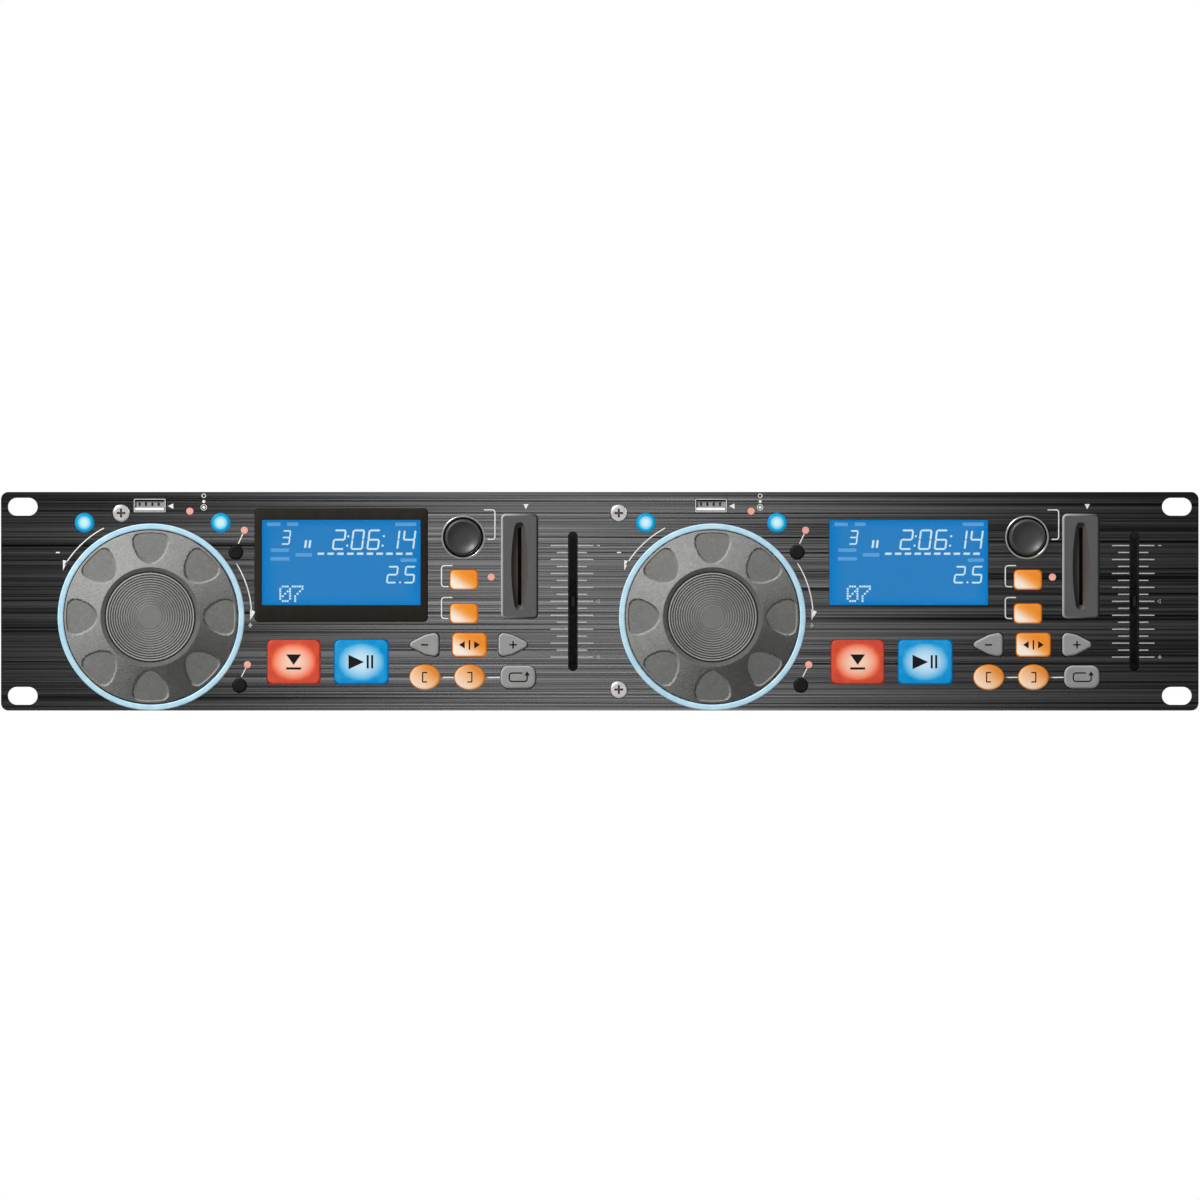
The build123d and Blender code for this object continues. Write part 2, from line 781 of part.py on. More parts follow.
def dimple_scoop():
    """Cutter of one finger dimple, in the wheel's own frame: local z is the height and the
    dimple lies towards local +y. The outline is a shield and the floor falls to the rim."""
    base = panel_thick + dimple_floor
    half = dimple_width / 2
    with BuildPart() as scoop:
        with BuildSketch(Plane.XY.offset(base)):
            with BuildLine():
                ThreePointArc((-half, dimple_widest), (0, dimple_inner), (half, dimple_widest))
                rim_y = (dimple_outer**2 - half**2) ** 0.5
                Line((half, dimple_widest), (half, rim_y))
                ThreePointArc((half, rim_y), (0, dimple_outer), (-half, rim_y))
                Line((-half, rim_y), (-half, dimple_widest))
            face = make_face()
            corners = face.vertices().group_by(Axis.Y)[-1]
            fillet(corners, dimple_corner)
        extrude(amount=hub_top)
        outer = dimple_outer + dimple_past
        inner = dimple_inner - dimple_past
        lid = base + hub_top
        with BuildSketch(Plane.YZ):
            with BuildLine():
                Polyline((outer, base), (inner, base + dimple_rise), (inner, lid), (outer, lid),
                         close=True)
            make_face()
        extrude(amount=dimple_width, both=True, mode=Mode.INTERSECT)
    return scoop.part


def make_jog_wheel(deck):
    """Wheel with eight scooped dimples, its spindle and its encoder disc."""
    x, z = deck.jog_x, jog_z
    base = panel_thick + wheel_base
    rim = panel_thick + rim_top
    hub = panel_thick + hub_top
    bevel = hub - hub_bevel
    pocket = hub - disc_pocket_depth
    web = panel_thick + dimple_floor - skin
    boss = spindle_radius + boss_wall
    spindle_top = pocket - skin
    front = Plane(origin=(x, 0, z), x_dir=(1, 0, 0), z_dir=(0, -1, 0)).location
    turns = [Rotation(0, 0, 360 / dimple_count * turn) for turn in range(dimple_count)]
    scoop = dimple_scoop()
    scoops = [front * turn * scoop for turn in turns]
    with BuildPart() as wheel:
        with BuildSketch(half_section(x, z)):
            with BuildLine():
                Polyline((wheel_radius, base), (wheel_radius - skin, base),
                         (wheel_radius - skin, web), (boss, web), (boss, base + bush_flange_thick),
                         (spindle_radius + slip, base + bush_flange_thick),
                         (spindle_radius + slip, spindle_top), (0, spindle_top), (0, pocket),
                         (disc_pocket, pocket), (disc_pocket, bevel), (hub_radius, hub),
                         (wheel_radius - rim_chamfer, rim),
                         (wheel_radius, rim - rim_chamfer), close=True)
            make_face()
        revolve(axis=turning_axis(x, z))
        add(scoops, mode=Mode.SUBTRACT)
        disc_back = encoder_disc_height - encoder_disc_thick
        with BuildSketch(facing(spindle_top - gap)):
            with Locations((x, z)):
                Circle(spindle_radius)
        extrude(amount=disc_back - spindle_tail - spindle_top + gap)
        with BuildSketch(facing(disc_back)):
            with Locations((x, z)):
                Circle(encoder_disc_radius)
        extrude(amount=encoder_disc_thick)
    save(wheel, f"{deck.name}_jog_wheel")
    with BuildPart() as disc:
        with BuildSketch(half_section(x, z)):
            with BuildLine():
                lip = hub - disc_lip_drop
                dish = hub - disc_dish
                inside = disc_radius - disc_lip_width
                Polyline((0, pocket), (disc_radius, pocket), (disc_radius, lip),
                         (inside, lip), (inside, dish), (0, dish), close=True)
            make_face()
        revolve(axis=turning_axis(x, z))
    save(disc, f"{deck.name}_jog_disc")


def make_jog_light_rings():
    """Light guide ring round each wheel, on four legs that reach the control board."""
    with BuildPart() as rings:
        for deck in DECKS:
            with BuildSketch(facing(panel_thick)):
                with Locations((deck.jog_x, jog_z)):
                    Circle(ring_outer)
                    Circle(ring_inner, mode=Mode.SUBTRACT)
            extrude(amount=ring_proud)
            with BuildSketch(facing(panel_thick)):
                with Locations(leg_places(deck)):
                    Rectangle(ring_leg, ring_leg)
            extrude(amount=board_height + gap - panel_thick)
        outer_edges = rings.faces().sort_by(Axis.Y)[:2].edges()
        chamfer(outer_edges, ring_chamfer)
    save(rings, "jog_light_rings")


def make_jog_bearings():
    """Flanged bush and lock nut that carry each wheel's spindle."""
    front = panel_thick + bush_flange_thick
    with BuildPart() as bearings:
        for deck in DECKS:
            with BuildSketch(facing(panel_thick)):
                with Locations((deck.jog_x, jog_z)):
                    Circle(bush_flange)
            extrude(amount=bush_flange_thick)
            with BuildSketch(facing(panel_thick)):
                with Locations((deck.jog_x, jog_z)):
                    Circle(bush_radius)
            extrude(amount=-bush_length + bush_flange_thick)
            with BuildSketch(facing(front)):
                with Locations((deck.jog_x, jog_z)):
                    Circle(spindle_radius + slip)
            extrude(amount=-bush_length, mode=Mode.SUBTRACT)
    with BuildPart() as nuts:
        with BuildSketch(facing(-sheet)):
            with Locations([(deck.jog_x, jog_z) for deck in DECKS]):
                RegularPolygon(nut_width / 2, 6, major_radius=False)
                Circle(bush_radius + slip, mode=Mode.SUBTRACT)
        extrude(amount=-nut_thick)
    with BuildPart() as jog_bearings:
        add(bearings.part)
        add(nuts.part)
    save(jog_bearings, "jog_bearings")


def make_displays():
    """Display windows in the fascia and the display modules behind them."""
    with BuildPart() as windows:
        for deck in DECKS:
            width, height, corner, x, z = window_size(deck)
            with BuildSketch(facing(0)):
                with Locations((x, z)):
                    RectangleRounded(width, height, corner)
            extrude(amount=panel_thick + (glass_proud if deck.name == "left" else 0))
    save(windows, "display_windows")
    feet_x = lcd_width - 2 * lcd_foot_inset[0]
    feet_z = lcd_height - 2 * lcd_foot_inset[1]
    with BuildPart() as modules:
        for deck in DECKS:
            x, z = spot(deck, display_place, "display")
            with BuildSketch(facing(-seat)):
                with Locations((x, z)):
                    Rectangle(lcd_width + 2 * module_margin, lcd_height + 2 * module_margin)
            extrude(amount=-module_depth)
            with BuildSketch(facing(-seat - module_depth)):
                with Locations((x, z)):
                    with GridLocations(feet_x, feet_z, 2, 2):
                        Rectangle(lcd_foot, lcd_foot)
            extrude(amount=board_height + module_depth + seat)
    save(modules, "lcd_modules")


def make_card_slot_bezels():
    """Moulded plate with a lens-shaped scoop that leads a card into its slot."""
    with BuildPart() as bezels:
        for deck in DECKS:
            x, z = spot(deck, card_place)
            with BuildSketch(facing(panel_thick)):
                with Locations((x, z)):
                    RectangleRounded(card_plate_width, card_plate_height, card_plate_corner)
            extrude(amount=card_plate_proud)
            with BuildSketch(facing(panel_thick)):
                with Locations((x, z)):
                    Rectangle(card_neck_width, card_neck_height)
            extrude(amount=card_neck_back - panel_thick)
        chamfer(bezels.faces().sort_by(Axis.Y)[:2].edges(), card_plate_chamfer)
        for deck in DECKS:
            x, z = spot(deck, card_place)
            half_x = card_scoop_width / 2
            half_z = card_scoop_height / 2
            front = panel_thick + card_plate_proud
            with BuildSketch(facing(front - card_scoop_depth)):
                with BuildLine():
                    ThreePointArc((x, z - half_z), (x + half_x, z), (x, z + half_z))
                    ThreePointArc((x, z + half_z), (x - half_x, z), (x, z - half_z))
                make_face()
            extrude(amount=card_scoop_depth, mode=Mode.SUBTRACT)
            with BuildSketch(facing(front)):
                with Locations((x, z)):
                    Rectangle(card_slot_width, card_slot_height)
            extrude(amount=card_neck_back - front, mode=Mode.SUBTRACT)
    save(bezels, "card_slot_bezels")


def make_usb_sockets():
    """Metal shell open to the front with a contact tongue in its upper half."""
    front = panel_thick + usb_proud
    inner_x = usb_width - 2 * usb_wall
    inner_z = usb_height - 2 * usb_wall
    depth = front - board_height
    with BuildPart() as sockets:
        for deck in DECKS:
            x, z = spot(deck, usb_place)
            with BuildSketch(facing(board_height)):
                with Locations((x, z)):
                    Rectangle(usb_width, usb_height)
            extrude(amount=depth)
            with BuildSketch(facing(board_height + usb_floor)):
                with Locations((x, z)):
                    Rectangle(inner_x, inner_z)
            extrude(amount=depth, mode=Mode.SUBTRACT)
            with BuildSketch(facing(board_height + usb_floor)):
                with Locations((x, z + (inner_z - tongue_thick) / 2 - tongue_drop)):
                    Rectangle(inner_x - 2 * tongue_side, tongue_thick)
            extrude(amount=depth - usb_floor - tongue_sunk)
    save(sockets, "usb_sockets")


def make_indicator_leds():
    """Lamps with long bodies that reach back to the control board."""
    with BuildPart() as leds:
        with BuildSketch(facing(board_height + gap)):
            for deck in DECKS:
                with Locations([spot(deck, place) for place in LAMPS]):
                    Circle(lamp_radius)
        extrude(amount=panel_thick + lamp_proud - board_height - gap)
    save(leds, "indicator_leds")


def make_faders():
    """Slide potentiometer housings and the carriages that run in them."""
    cavity_x = fader_width - 2 * fader_wall
    cavity_z = fader_length - 2 * fader_wall
    cavity_depth = fader_depth - 2 * fader_wall
    with BuildPart() as housings:
        for deck in DECKS:
            x = deck.jog_x + fader_u
            with BuildSketch(facing(board_height + seat)):
                with Locations((x, 0)):
                    Rectangle(fader_width, fader_length)
            extrude(amount=fader_depth)
            with BuildSketch(facing(board_height + seat + fader_wall)):
                with Locations((x, 0)):
                    Rectangle(cavity_x, cavity_z)
            extrude(amount=cavity_depth, mode=Mode.SUBTRACT)
            with BuildSketch(facing(board_height + seat + fader_depth)):
                with Locations((x, 0)):
                    Rectangle(cavity_x - 2 * fader_lip, fader_travel + lever_width + 2 * lever_room)
            extrude(amount=-fader_wall, mode=Mode.SUBTRACT)
    save(housings, "pitch_faders")
    for deck in DECKS:
        x = deck.jog_x + fader_u
        carriage_back = board_height + seat + fader_wall + fader_run
        with BuildPart() as slider:
            with BuildSketch(facing(carriage_back)):
                with Locations((x, 0)):
                    Rectangle(cavity_x - 2 * fader_run, carriage_length)
            extrude(amount=cavity_depth - 2 * fader_run)
            with BuildSketch(facing(carriage_back)):
                with Locations((x, 0)):
                    Rectangle(lever_thick, lever_width)
            extrude(amount=lever_top - carriage_back)
        save(slider, f"{deck.name}_pitch_slider")


def make_control_boards():
    """One circuit board per deck with its switches, encoder, disc sensor and card socket."""
    switch_front = board_height + switch_depth
    with BuildPart() as control_boards:
        for deck in DECKS:
            card_x, card_z = spot(deck, card_place)
            knob_x, knob_z = spot(deck, knob_place, "keys")
            middle_x = deck.jog_x + (board_left + board_right) / 2
            with BuildSketch(facing(board_height)):
                with Locations((middle_x, (board_low + board_high) / 2)):
                    Rectangle(board_right - board_left, board_high - board_low)
                with Locations((card_x, card_z)):
                    Rectangle(card_socket_width + 1.0, card_width + 2 * card_cut_margin,
                              mode=Mode.SUBTRACT)
            extrude(amount=-board_thick)
            key_places = [key_at(deck, key) for key in KEYS]
            with BuildSketch(facing(board_height + seat)):
                with Locations(key_places):
                    Rectangle(switch_width, switch_width)
            extrude(amount=switch_depth - seat)
            with BuildSketch(facing(switch_front)):
                with Locations(key_places):
                    Rectangle(stem_width + gap * 2, stem_width + gap * 2)
            extrude(amount=-stem_entry - main_travel - gap, mode=Mode.SUBTRACT)
            with BuildSketch(facing(board_height + seat)):
                with Locations((knob_x, knob_z)):
                    Rectangle(encoder_width, encoder_width)
            extrude(amount=encoder_depth - seat)
            with BuildSketch(facing(board_height + encoder_depth)):
                with Locations((knob_x, knob_z)):
                    Circle(encoder_bush)
            extrude(amount=encoder_bush_reach)
            with BuildSketch(facing(board_height + seat + encoder_floor)):
                with Locations((knob_x, knob_z)):
                    Circle(plunger_radius + slip)
            extrude(amount=encoder_depth + encoder_bush_reach, mode=Mode.SUBTRACT)
            with BuildSketch(facing(card_socket_front)):
                with Locations((card_x, card_z)):
                    Rectangle(card_socket_width, card_width + 2 * card_socket_margin)
            extrude(amount=-card_depth - card_socket_end)
            with BuildSketch(facing(card_socket_front)):
                with Locations((card_x, card_z)):
                    Rectangle(card_slot_width, card_width)
            extrude(amount=-card_depth, mode=Mode.SUBTRACT)
            riser_x = card_x + card_socket_width / 2 + seat + board_thick / 2
            with BuildSketch(facing(board_height - board_thick - seat)):
                with Locations((riser_x, card_z)):
                    Rectangle(board_thick, card_width + 2 * riser_margin)
            extrude(amount=-riser_depth)
            sensor_x = deck.jog_x + encoder_disc_radius + sensor_offset
            with BuildSketch(facing(board_height + seat)):
                with Locations((sensor_x, jog_z)):
                    Rectangle(*sensor_size)
            extrude(amount=sensor_height)
            with BuildSketch(facing(encoder_disc_height - encoder_disc_thick - sensor_mouth)):
                with Locations((sensor_x - sensor_back, jog_z)):
                    Rectangle(sensor_size[0], 2 * sensor_size[1])
            extrude(amount=encoder_disc_thick + 2 * sensor_mouth, mode=Mode.SUBTRACT)
    save(control_boards, "control_boards")


def blocks_on_board(places, width, depth, height):
    """Equal blocks that stand on a floor board."""
    with BuildPart() as blocks:
        with BuildSketch(Plane.XY.offset(pcb_z + board_thick + seat)):
            with Locations(places):
                Rectangle(width, depth)
        extrude(amount=height)
    return blocks.part


def make_main_board():
    """Signal board on the chassis floor with its main chips and connectors."""
    with BuildPart() as main_board:
        with BuildSketch(Plane.XY.offset(pcb_z)):
            with Locations(main_board_place):
                Rectangle(*main_board_size)
        extrude(amount=board_thick)
        add(blocks_on_board(CHIPS, chip_size, chip_size, chip_height))
        add(blocks_on_board(HEADERS, *header_size, header_height))
    save(main_board, "main_board")


def make_power_supply():
    """Supply board with transformer, two capacitors and a heat sink."""
    with BuildPart() as power_supply:
        with BuildSketch(Plane.XY.offset(pcb_z)):
            with Locations(supply_place):
                Rectangle(*supply_size)
        extrude(amount=board_thick)
        add(blocks_on_board([transformer_place], *transformer_size, transformer_height))
        add(blocks_on_board([heat_sink_place], *heat_sink_size, heat_sink_height))
        with BuildSketch(Plane.XY.offset(pcb_z + board_thick + seat)):
            with Locations(CAPACITORS):
                Circle(capacitor_radius)
        extrude(amount=capacitor_height)
    save(power_supply, "power_supply")


def make_rear_jacks():
    """Two pairs of phono jacks and two start jacks, standing on the main board."""
    board_top = pcb_z + board_thick
    wall = -chassis_depth + sheet
    block_top = JACK_ROWS[1] + jack_block_top
    with BuildPart() as rear_jacks:
        for x in JACK_COLUMNS:
            with BuildSketch(facing(wall + seat)):
                with Locations((x, (board_top + seat + block_top) / 2)):
                    Rectangle(jack_block_width, block_top - board_top - seat)
            extrude(amount=jack_block_depth)
            with BuildSketch(facing(wall + seat)):
                with Locations([(x, z) for z in JACK_ROWS]):
                    Circle(jack_radius)
            extrude(amount=-sheet - seat - jack_reach)
            with BuildSketch(facing(-chassis_depth)):
                with Locations([(x, z) for z in JACK_ROWS]):
                    Circle(jack_collar)
            extrude(amount=-jack_collar_thick)
            with BuildSketch(facing(-chassis_depth - jack_reach)):
                with Locations([(x, z) for z in JACK_ROWS]):
                    Circle(jack_socket)
            extrude(amount=jack_reach + jack_depth, mode=Mode.SUBTRACT)
        for x in START_COLUMNS:
            z = JACK_ROWS[0]
            with BuildSketch(facing(wall + seat)):
                with Locations((x, (board_top + seat + z + start_block_top) / 2)):
                    Rectangle(start_block_width, z + start_block_top - board_top - seat)
            extrude(amount=start_depth)
            with BuildSketch(facing(wall + seat)):
                with Locations((x, z)):
                    Circle(start_radius)
            extrude(amount=-sheet - seat - start_reach)
            with BuildSketch(facing(-chassis_depth - start_reach)):
                with Locations((x, z)):
                    Circle(start_bore)
            extrude(amount=start_depth, mode=Mode.SUBTRACT)
    save(rear_jacks, "rear_jacks")


def rocker_pivot():
    """Plane at the rocker's pivot, turned to its off stop: local x is Y and local y is Z."""
    x = inlet_x - inlet_to_rocker
    y = chassis_depth + inlet_flange_thick - rocker_sink
    upright = Plane(origin=(x, y, inlet_z), x_dir=(0, 1, 0), z_dir=(1, 0, 0))
    return upright.rotated((-rocker_tilt, 0, 0))


def make_power_inlet():
    """Mains inlet and switch frame in one moulding, held in the rear wall."""
    rocker_x = inlet_x - inlet_to_rocker
    middle_x = (inlet_x + rocker_x) / 2
    outside = -chassis_depth - inlet_flange_thick
    body_x = inlet_flange_x - 2 * inlet_lap_x - 2 * gap
    body_z = inlet_flange_z - 2 * inlet_lap_z - 2 * gap
    low_row = inlet_z - blade_row / 2
    blades = [(inlet_x - blade_spacing / 2, low_row), (inlet_x + blade_spacing / 2, low_row),
              (inlet_x, low_row + blade_row)]
    with BuildPart() as power_inlet:
        with BuildSketch(facing(outside)):
            with Locations((middle_x, inlet_z)):
                RectangleRounded(inlet_flange_x, inlet_flange_z, inlet_corner)
        extrude(amount=inlet_flange_thick)
        with BuildSketch(facing(-chassis_depth)):
            with Locations((middle_x, inlet_z)):
                Rectangle(body_x, body_z)
        extrude(amount=inlet_depth)
        with BuildSketch(facing(outside)):
            with Locations((inlet_x, inlet_z)):
                RectangleRounded(inlet_cavity_x, inlet_cavity_z, inlet_corner)
        extrude(amount=inlet_cavity_depth, mode=Mode.SUBTRACT)
        with BuildSketch(facing(outside + inlet_cavity_depth)):
            with Locations(blades):
                Rectangle(blade_width, blade_height)
        extrude(amount=blade_sunk - inlet_cavity_depth)
        with BuildSketch(facing(outside)):
            with Locations((rocker_x, inlet_z)):
                Rectangle(rocker_width + 2 * gap, rocker_height + 2 * gap)
        extrude(amount=rocker_pocket, mode=Mode.SUBTRACT)
        pin_reach = rocker_width / 2 + rocker_pin_reach + gap
        with BuildSketch(rocker_pivot().offset(-pin_reach)):
            Circle(rocker_pin + slip)
        extrude(amount=2 * pin_reach, mode=Mode.SUBTRACT)
    save(power_inlet, "power_inlet")


def make_power_rocker():
    """Rocker at its off stop, on two pins in the switch frame."""
    half = rocker_height / 2 - rocker_sweep
    half_width = rocker_width / 2
    waist = half * rocker_waist
    pivot = rocker_pivot()
    with BuildPart() as power_rocker:
        with BuildSketch(pivot.offset(-half_width)):
            with BuildLine():
                Polyline((-rocker_back, -waist), (rocker_shoulder, -half), (rocker_ends, -half),
                         (rocker_middle, 0), (rocker_ends, half), (rocker_shoulder, half),
                         (-rocker_back, waist), close=True)
            make_face()
        extrude(amount=rocker_width)
        with BuildSketch(pivot.offset(-half_width - rocker_pin_reach)):
            Circle(rocker_pin)
        extrude(amount=rocker_width + 2 * rocker_pin_reach)
    save(power_rocker, "power_rocker")


make_front_panel()
make_chassis()
make_sub_panel()
make_rear_panel()
make_top_cover()
make_cover_screws()
make_rubber_feet()
make_panel_screws()
make_jog_light_rings()
make_jog_bearings()
make_displays()
make_card_slot_bezels()
make_usb_sockets()
make_indicator_leds()
make_faders()
make_control_boards()
make_main_board()
make_power_supply()
make_rear_jacks()
make_power_inlet()
make_power_rocker()
for deck in DECKS:
    make_jog_wheel(deck)
    make_search_knob(deck)
    for key in KEYS:
        make_key(deck, key)
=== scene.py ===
import json
import math
from collections import namedtuple

import bmesh
import bpy
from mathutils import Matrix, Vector


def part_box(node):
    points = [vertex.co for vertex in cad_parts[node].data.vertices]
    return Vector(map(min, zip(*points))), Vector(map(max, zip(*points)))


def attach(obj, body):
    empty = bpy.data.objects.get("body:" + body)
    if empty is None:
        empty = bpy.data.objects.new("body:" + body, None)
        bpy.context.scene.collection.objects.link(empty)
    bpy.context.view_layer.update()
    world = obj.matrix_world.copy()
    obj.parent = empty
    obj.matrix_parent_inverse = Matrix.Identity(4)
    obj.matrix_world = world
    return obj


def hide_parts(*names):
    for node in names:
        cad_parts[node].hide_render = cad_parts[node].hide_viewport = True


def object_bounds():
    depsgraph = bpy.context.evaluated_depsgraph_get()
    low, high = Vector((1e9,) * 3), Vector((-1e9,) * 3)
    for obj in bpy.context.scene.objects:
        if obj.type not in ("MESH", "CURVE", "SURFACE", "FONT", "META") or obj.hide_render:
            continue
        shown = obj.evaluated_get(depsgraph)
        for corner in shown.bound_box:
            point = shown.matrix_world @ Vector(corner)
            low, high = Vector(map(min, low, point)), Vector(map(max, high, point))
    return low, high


# Looks of a two-deck rack player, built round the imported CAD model.
# Places are millimetres, as in the CAD: x to the right, z up, and "height" is the distance in
# front of the fascia's rear face, towards the user at -Y.

MM = 0.001
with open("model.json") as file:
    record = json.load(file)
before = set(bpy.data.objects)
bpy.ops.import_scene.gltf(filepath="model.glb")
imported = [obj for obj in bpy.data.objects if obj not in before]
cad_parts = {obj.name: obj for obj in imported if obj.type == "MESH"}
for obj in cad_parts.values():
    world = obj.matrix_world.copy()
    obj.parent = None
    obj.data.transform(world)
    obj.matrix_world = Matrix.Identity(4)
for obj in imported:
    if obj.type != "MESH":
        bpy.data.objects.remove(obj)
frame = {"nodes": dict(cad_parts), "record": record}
cad_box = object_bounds()
nodes = frame["nodes"]
SLOT_OF = {part["node"]: part["material_slot"] for part in frame["record"]["subparts"]}


# ---------- places, read from the frame

Box = namedtuple("Box", "x z width height front back")


def box(node):
    """Centre, size, and front and back height of a CAD node in millimetres."""
    low, high = (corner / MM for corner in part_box(node))
    return Box((low.x + high.x) / 2, (low.z + high.z) / 2, high.x - low.x, high.z - low.z, -low.y, -high.y)


def half_box(node, deck):
    """Box of one of two equal pieces, in a node that holds one for each deck."""
    both = box(node)
    width = both.width - (jog["right"][0] - jog["left"][0])
    side = -1 if deck == "left" else 1
    return both._replace(x=both.x + side * (both.width - width) / 2, width=width)


DECKS = ("left", "right")
panel = box("front_panel")
face = panel.front  # height of the fascia's front
top = panel.z + panel.height / 2
jog = {deck: box(f"{deck}_jog_wheel")[:2] for deck in DECKS}
INK_LIFT = 0.03  # printed marks stand this far off what they lie on
INK_SINK = 0.01  # and reach this far into it


# ---------- outlines, as lists of (x, z)

def oval(x, z, width, height, count=64):
    turns = [2 * math.pi * k / count for k in range(count)]
    return [(x + width / 2 * math.cos(t), z + height / 2 * math.sin(t)) for t in turns]


def circle(x, z, radius, count):
    return oval(x, z, 2 * radius, 2 * radius, count)


def arc(x, z, radius, start, end, count=24):
    """Points along an arc; angles in degrees, anticlockwise from +x."""
    angles = [math.radians(start + (end - start) * k / count) for k in range(count + 1)]
    return [(x + radius * math.cos(a), z + radius * math.sin(a)) for a in angles]


def rounded(x, z, width, height, corner):
    """Rectangle with round corners."""
    points = []
    for turn, (sx, sz) in enumerate(((1, 1), (-1, 1), (-1, -1), (1, -1))):
        cx, cz = x + sx * (width / 2 - corner), z + sz * (height / 2 - corner)
        points += arc(cx, cz, corner, 90 * turn, 90 * (turn + 1), 7)
    return points


def oblong(x_low, x_high, z_low, z_high):
    return [(x_low, z_low), (x_high, z_low), (x_high, z_high), (x_low, z_high)]


def subdivided(outline, step):
    """The same outline with extra points on its long straight runs."""
    points = []
    for start, end in zip(outline, outline[1:] + outline[:1]):
        pieces = max(1, round(math.dist(start, end) / step))
        points += [between(start, end, k / pieces) for k in range(pieces)]
    return points


def resampled(outline, count):
    """The same outline with evenly spaced points, from its first point on."""
    ends = closed(outline)
    lengths = [0.0]
    for start, end in zip(ends, ends[1:]):
        lengths.append(lengths[-1] + math.dist(start, end))
    points, run = [], 0
    for k in range(count):
        target = lengths[-1] * k / count
        while lengths[run + 1] < target:
            run += 1
        share = (target - lengths[run]) / (lengths[run + 1] - lengths[run])
        points.append(between(ends[run], ends[run + 1], share))
    return points


def closed(outline):
    return outline + outline[:1]


def between(start, end, share):
    return tuple(a + (b - a) * share for a, b in zip(start, end))


def inset(outline, distance):
    """Outline moved inwards along its own normals; it runs anticlockwise."""
    points = []
    for before, (x, z), after in zip(outline[-1:] + outline, outline, outline[1:] + outline[:1]):
        dx, dz = after[0] - before[0], after[1] - before[1]
        length = math.hypot(dx, dz) or 1.0
        points.append((x - dz / length * distance, z + dx / length * distance))
    return points


def scaled(outline, factor):
    """Outline scaled about the middle of its box."""
    xs, zs = zip(*outline)
    middle = (min(xs) + max(xs)) / 2, (min(zs) + max(zs)) / 2
    return [between(middle, point, factor) for point in outline]


def moved(points, x, z):
    return [(x + px, z + pz) for px, pz in points]


# ---------- mesh building

class Shape:
    """Points (x, height, z) in millimetres and the faces of one piece."""

    def __init__(self):
        self.points, self.tones, self.faces, self.finishes = [], [], [], []
        self.finish = 0  # which of the piece's finishes the next faces get

    def add(self, points, tones):
        """Adds points and returns their numbers."""
        first = len(self.points)
        self.points += points
        self.tones += tones
        return list(range(first, len(self.points)))

    def loop(self, outline, height, tone=0.0):
        """Adds an outline at a height; its tone is one value or a function of the place."""
        tones = [tone(x, z) if callable(tone) else tone for x, z in outline]
        return self.add([(x, height, z) for x, z in outline], tones)

    def rings(self, x, z, profile, count=96):
        """Adds circles from (radius, height) or (radius, height, tone)."""
        return [self.loop(circle(x, z, radius, count), *level) for radius, *level in profile]

    def cap(self, loop):
        self.faces.append(loop)
        self.finishes.append(self.finish)

    def loft(self, loops, first_cap=True, last_cap=True):
        """Skins the way from loop to loop."""
        for near, far in zip(loops, loops[1:]):
            for k in range(len(near)):
                self.cap((near[k - 1], near[k], far[k], far[k - 1]))
        if first_cap:
            self.cap(loops[0])
        if last_cap:
            self.cap(loops[-1])

    def block(self, outline, back, front):
        self.loft([self.loop(outline, back), self.loop(outline, front)])

    def ribbon(self, points, width, back, front):
        """Flat band that follows some points."""
        loops = []
        for before, (x, z), after in zip(points[:1] + points, points, points[1:] + points[-1:]):
            dx, dz = after[0] - before[0], after[1] - before[1]
            length = math.hypot(dx, dz)
            nx, nz = -dz / length * width / 2, dx / length * width / 2
            corners = ((1, back), (1, front), (-1, front), (-1, back))
            loops.append(self.add([(x + side * nx, height, z + side * nz) for side, height in corners], [0.0] * 4))
        self.loft(loops)

    def build(self, name, finishes, body="root", replaces=None, slotted=True, smooth=True, bevel=0.0):
        """Makes the Blender object, ties it to its body and hides the CAD node that it replaces."""
        mesh = bpy.data.meshes.new(name)
        mesh.from_pydata([(x * MM, -h * MM, z * MM) for x, h, z in self.points], [], self.faces)
        mesh.polygons.foreach_set("material_index", self.finishes)
        mesh.attributes.new("tone", "FLOAT", "POINT").data.foreach_set("value", self.tones)
        fix = bmesh.new()
        fix.from_mesh(mesh)
        bmesh.ops.recalc_face_normals(fix, faces=fix.faces)
        fix.to_mesh(mesh)
        fix.free()
        for finish in finishes.split():
            mesh.materials.append(MATERIALS[finish])
        piece = placed(name, mesh)
        if smooth:
            mesh.polygons.foreach_set("use_smooth", [True] * len(mesh.polygons))
            mesh.set_sharp_from_angle(angle=math.radians(35))
        if bevel:
            modifier = piece.modifiers.new("edges", "BEVEL")
            modifier.width = bevel * MM
            modifier.segments = 3
            modifier.limit_method = "ANGLE"
        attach(piece, body)
        if replaces:
            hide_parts(replaces)
        return piece


def placed(name, data):
    """New object in the scene."""
    made = bpy.data.objects.new(name, data)
    bpy.context.scene.collection.objects.link(made)
    return made


# ---------- materials

def linear(red, green, blue):
    """Display colour, 0 to 255, as the linear colour that shaders take."""
    shares = [channel / 255 for channel in (red, green, blue)]
    return (*(s / 12.92 if s <= 0.04045 else ((s + 0.055) / 1.055) ** 2.4 for s in shares), 1.0)


def shade(colour, factor):
    return (*(channel * factor for channel in colour[:3]), 1.0)


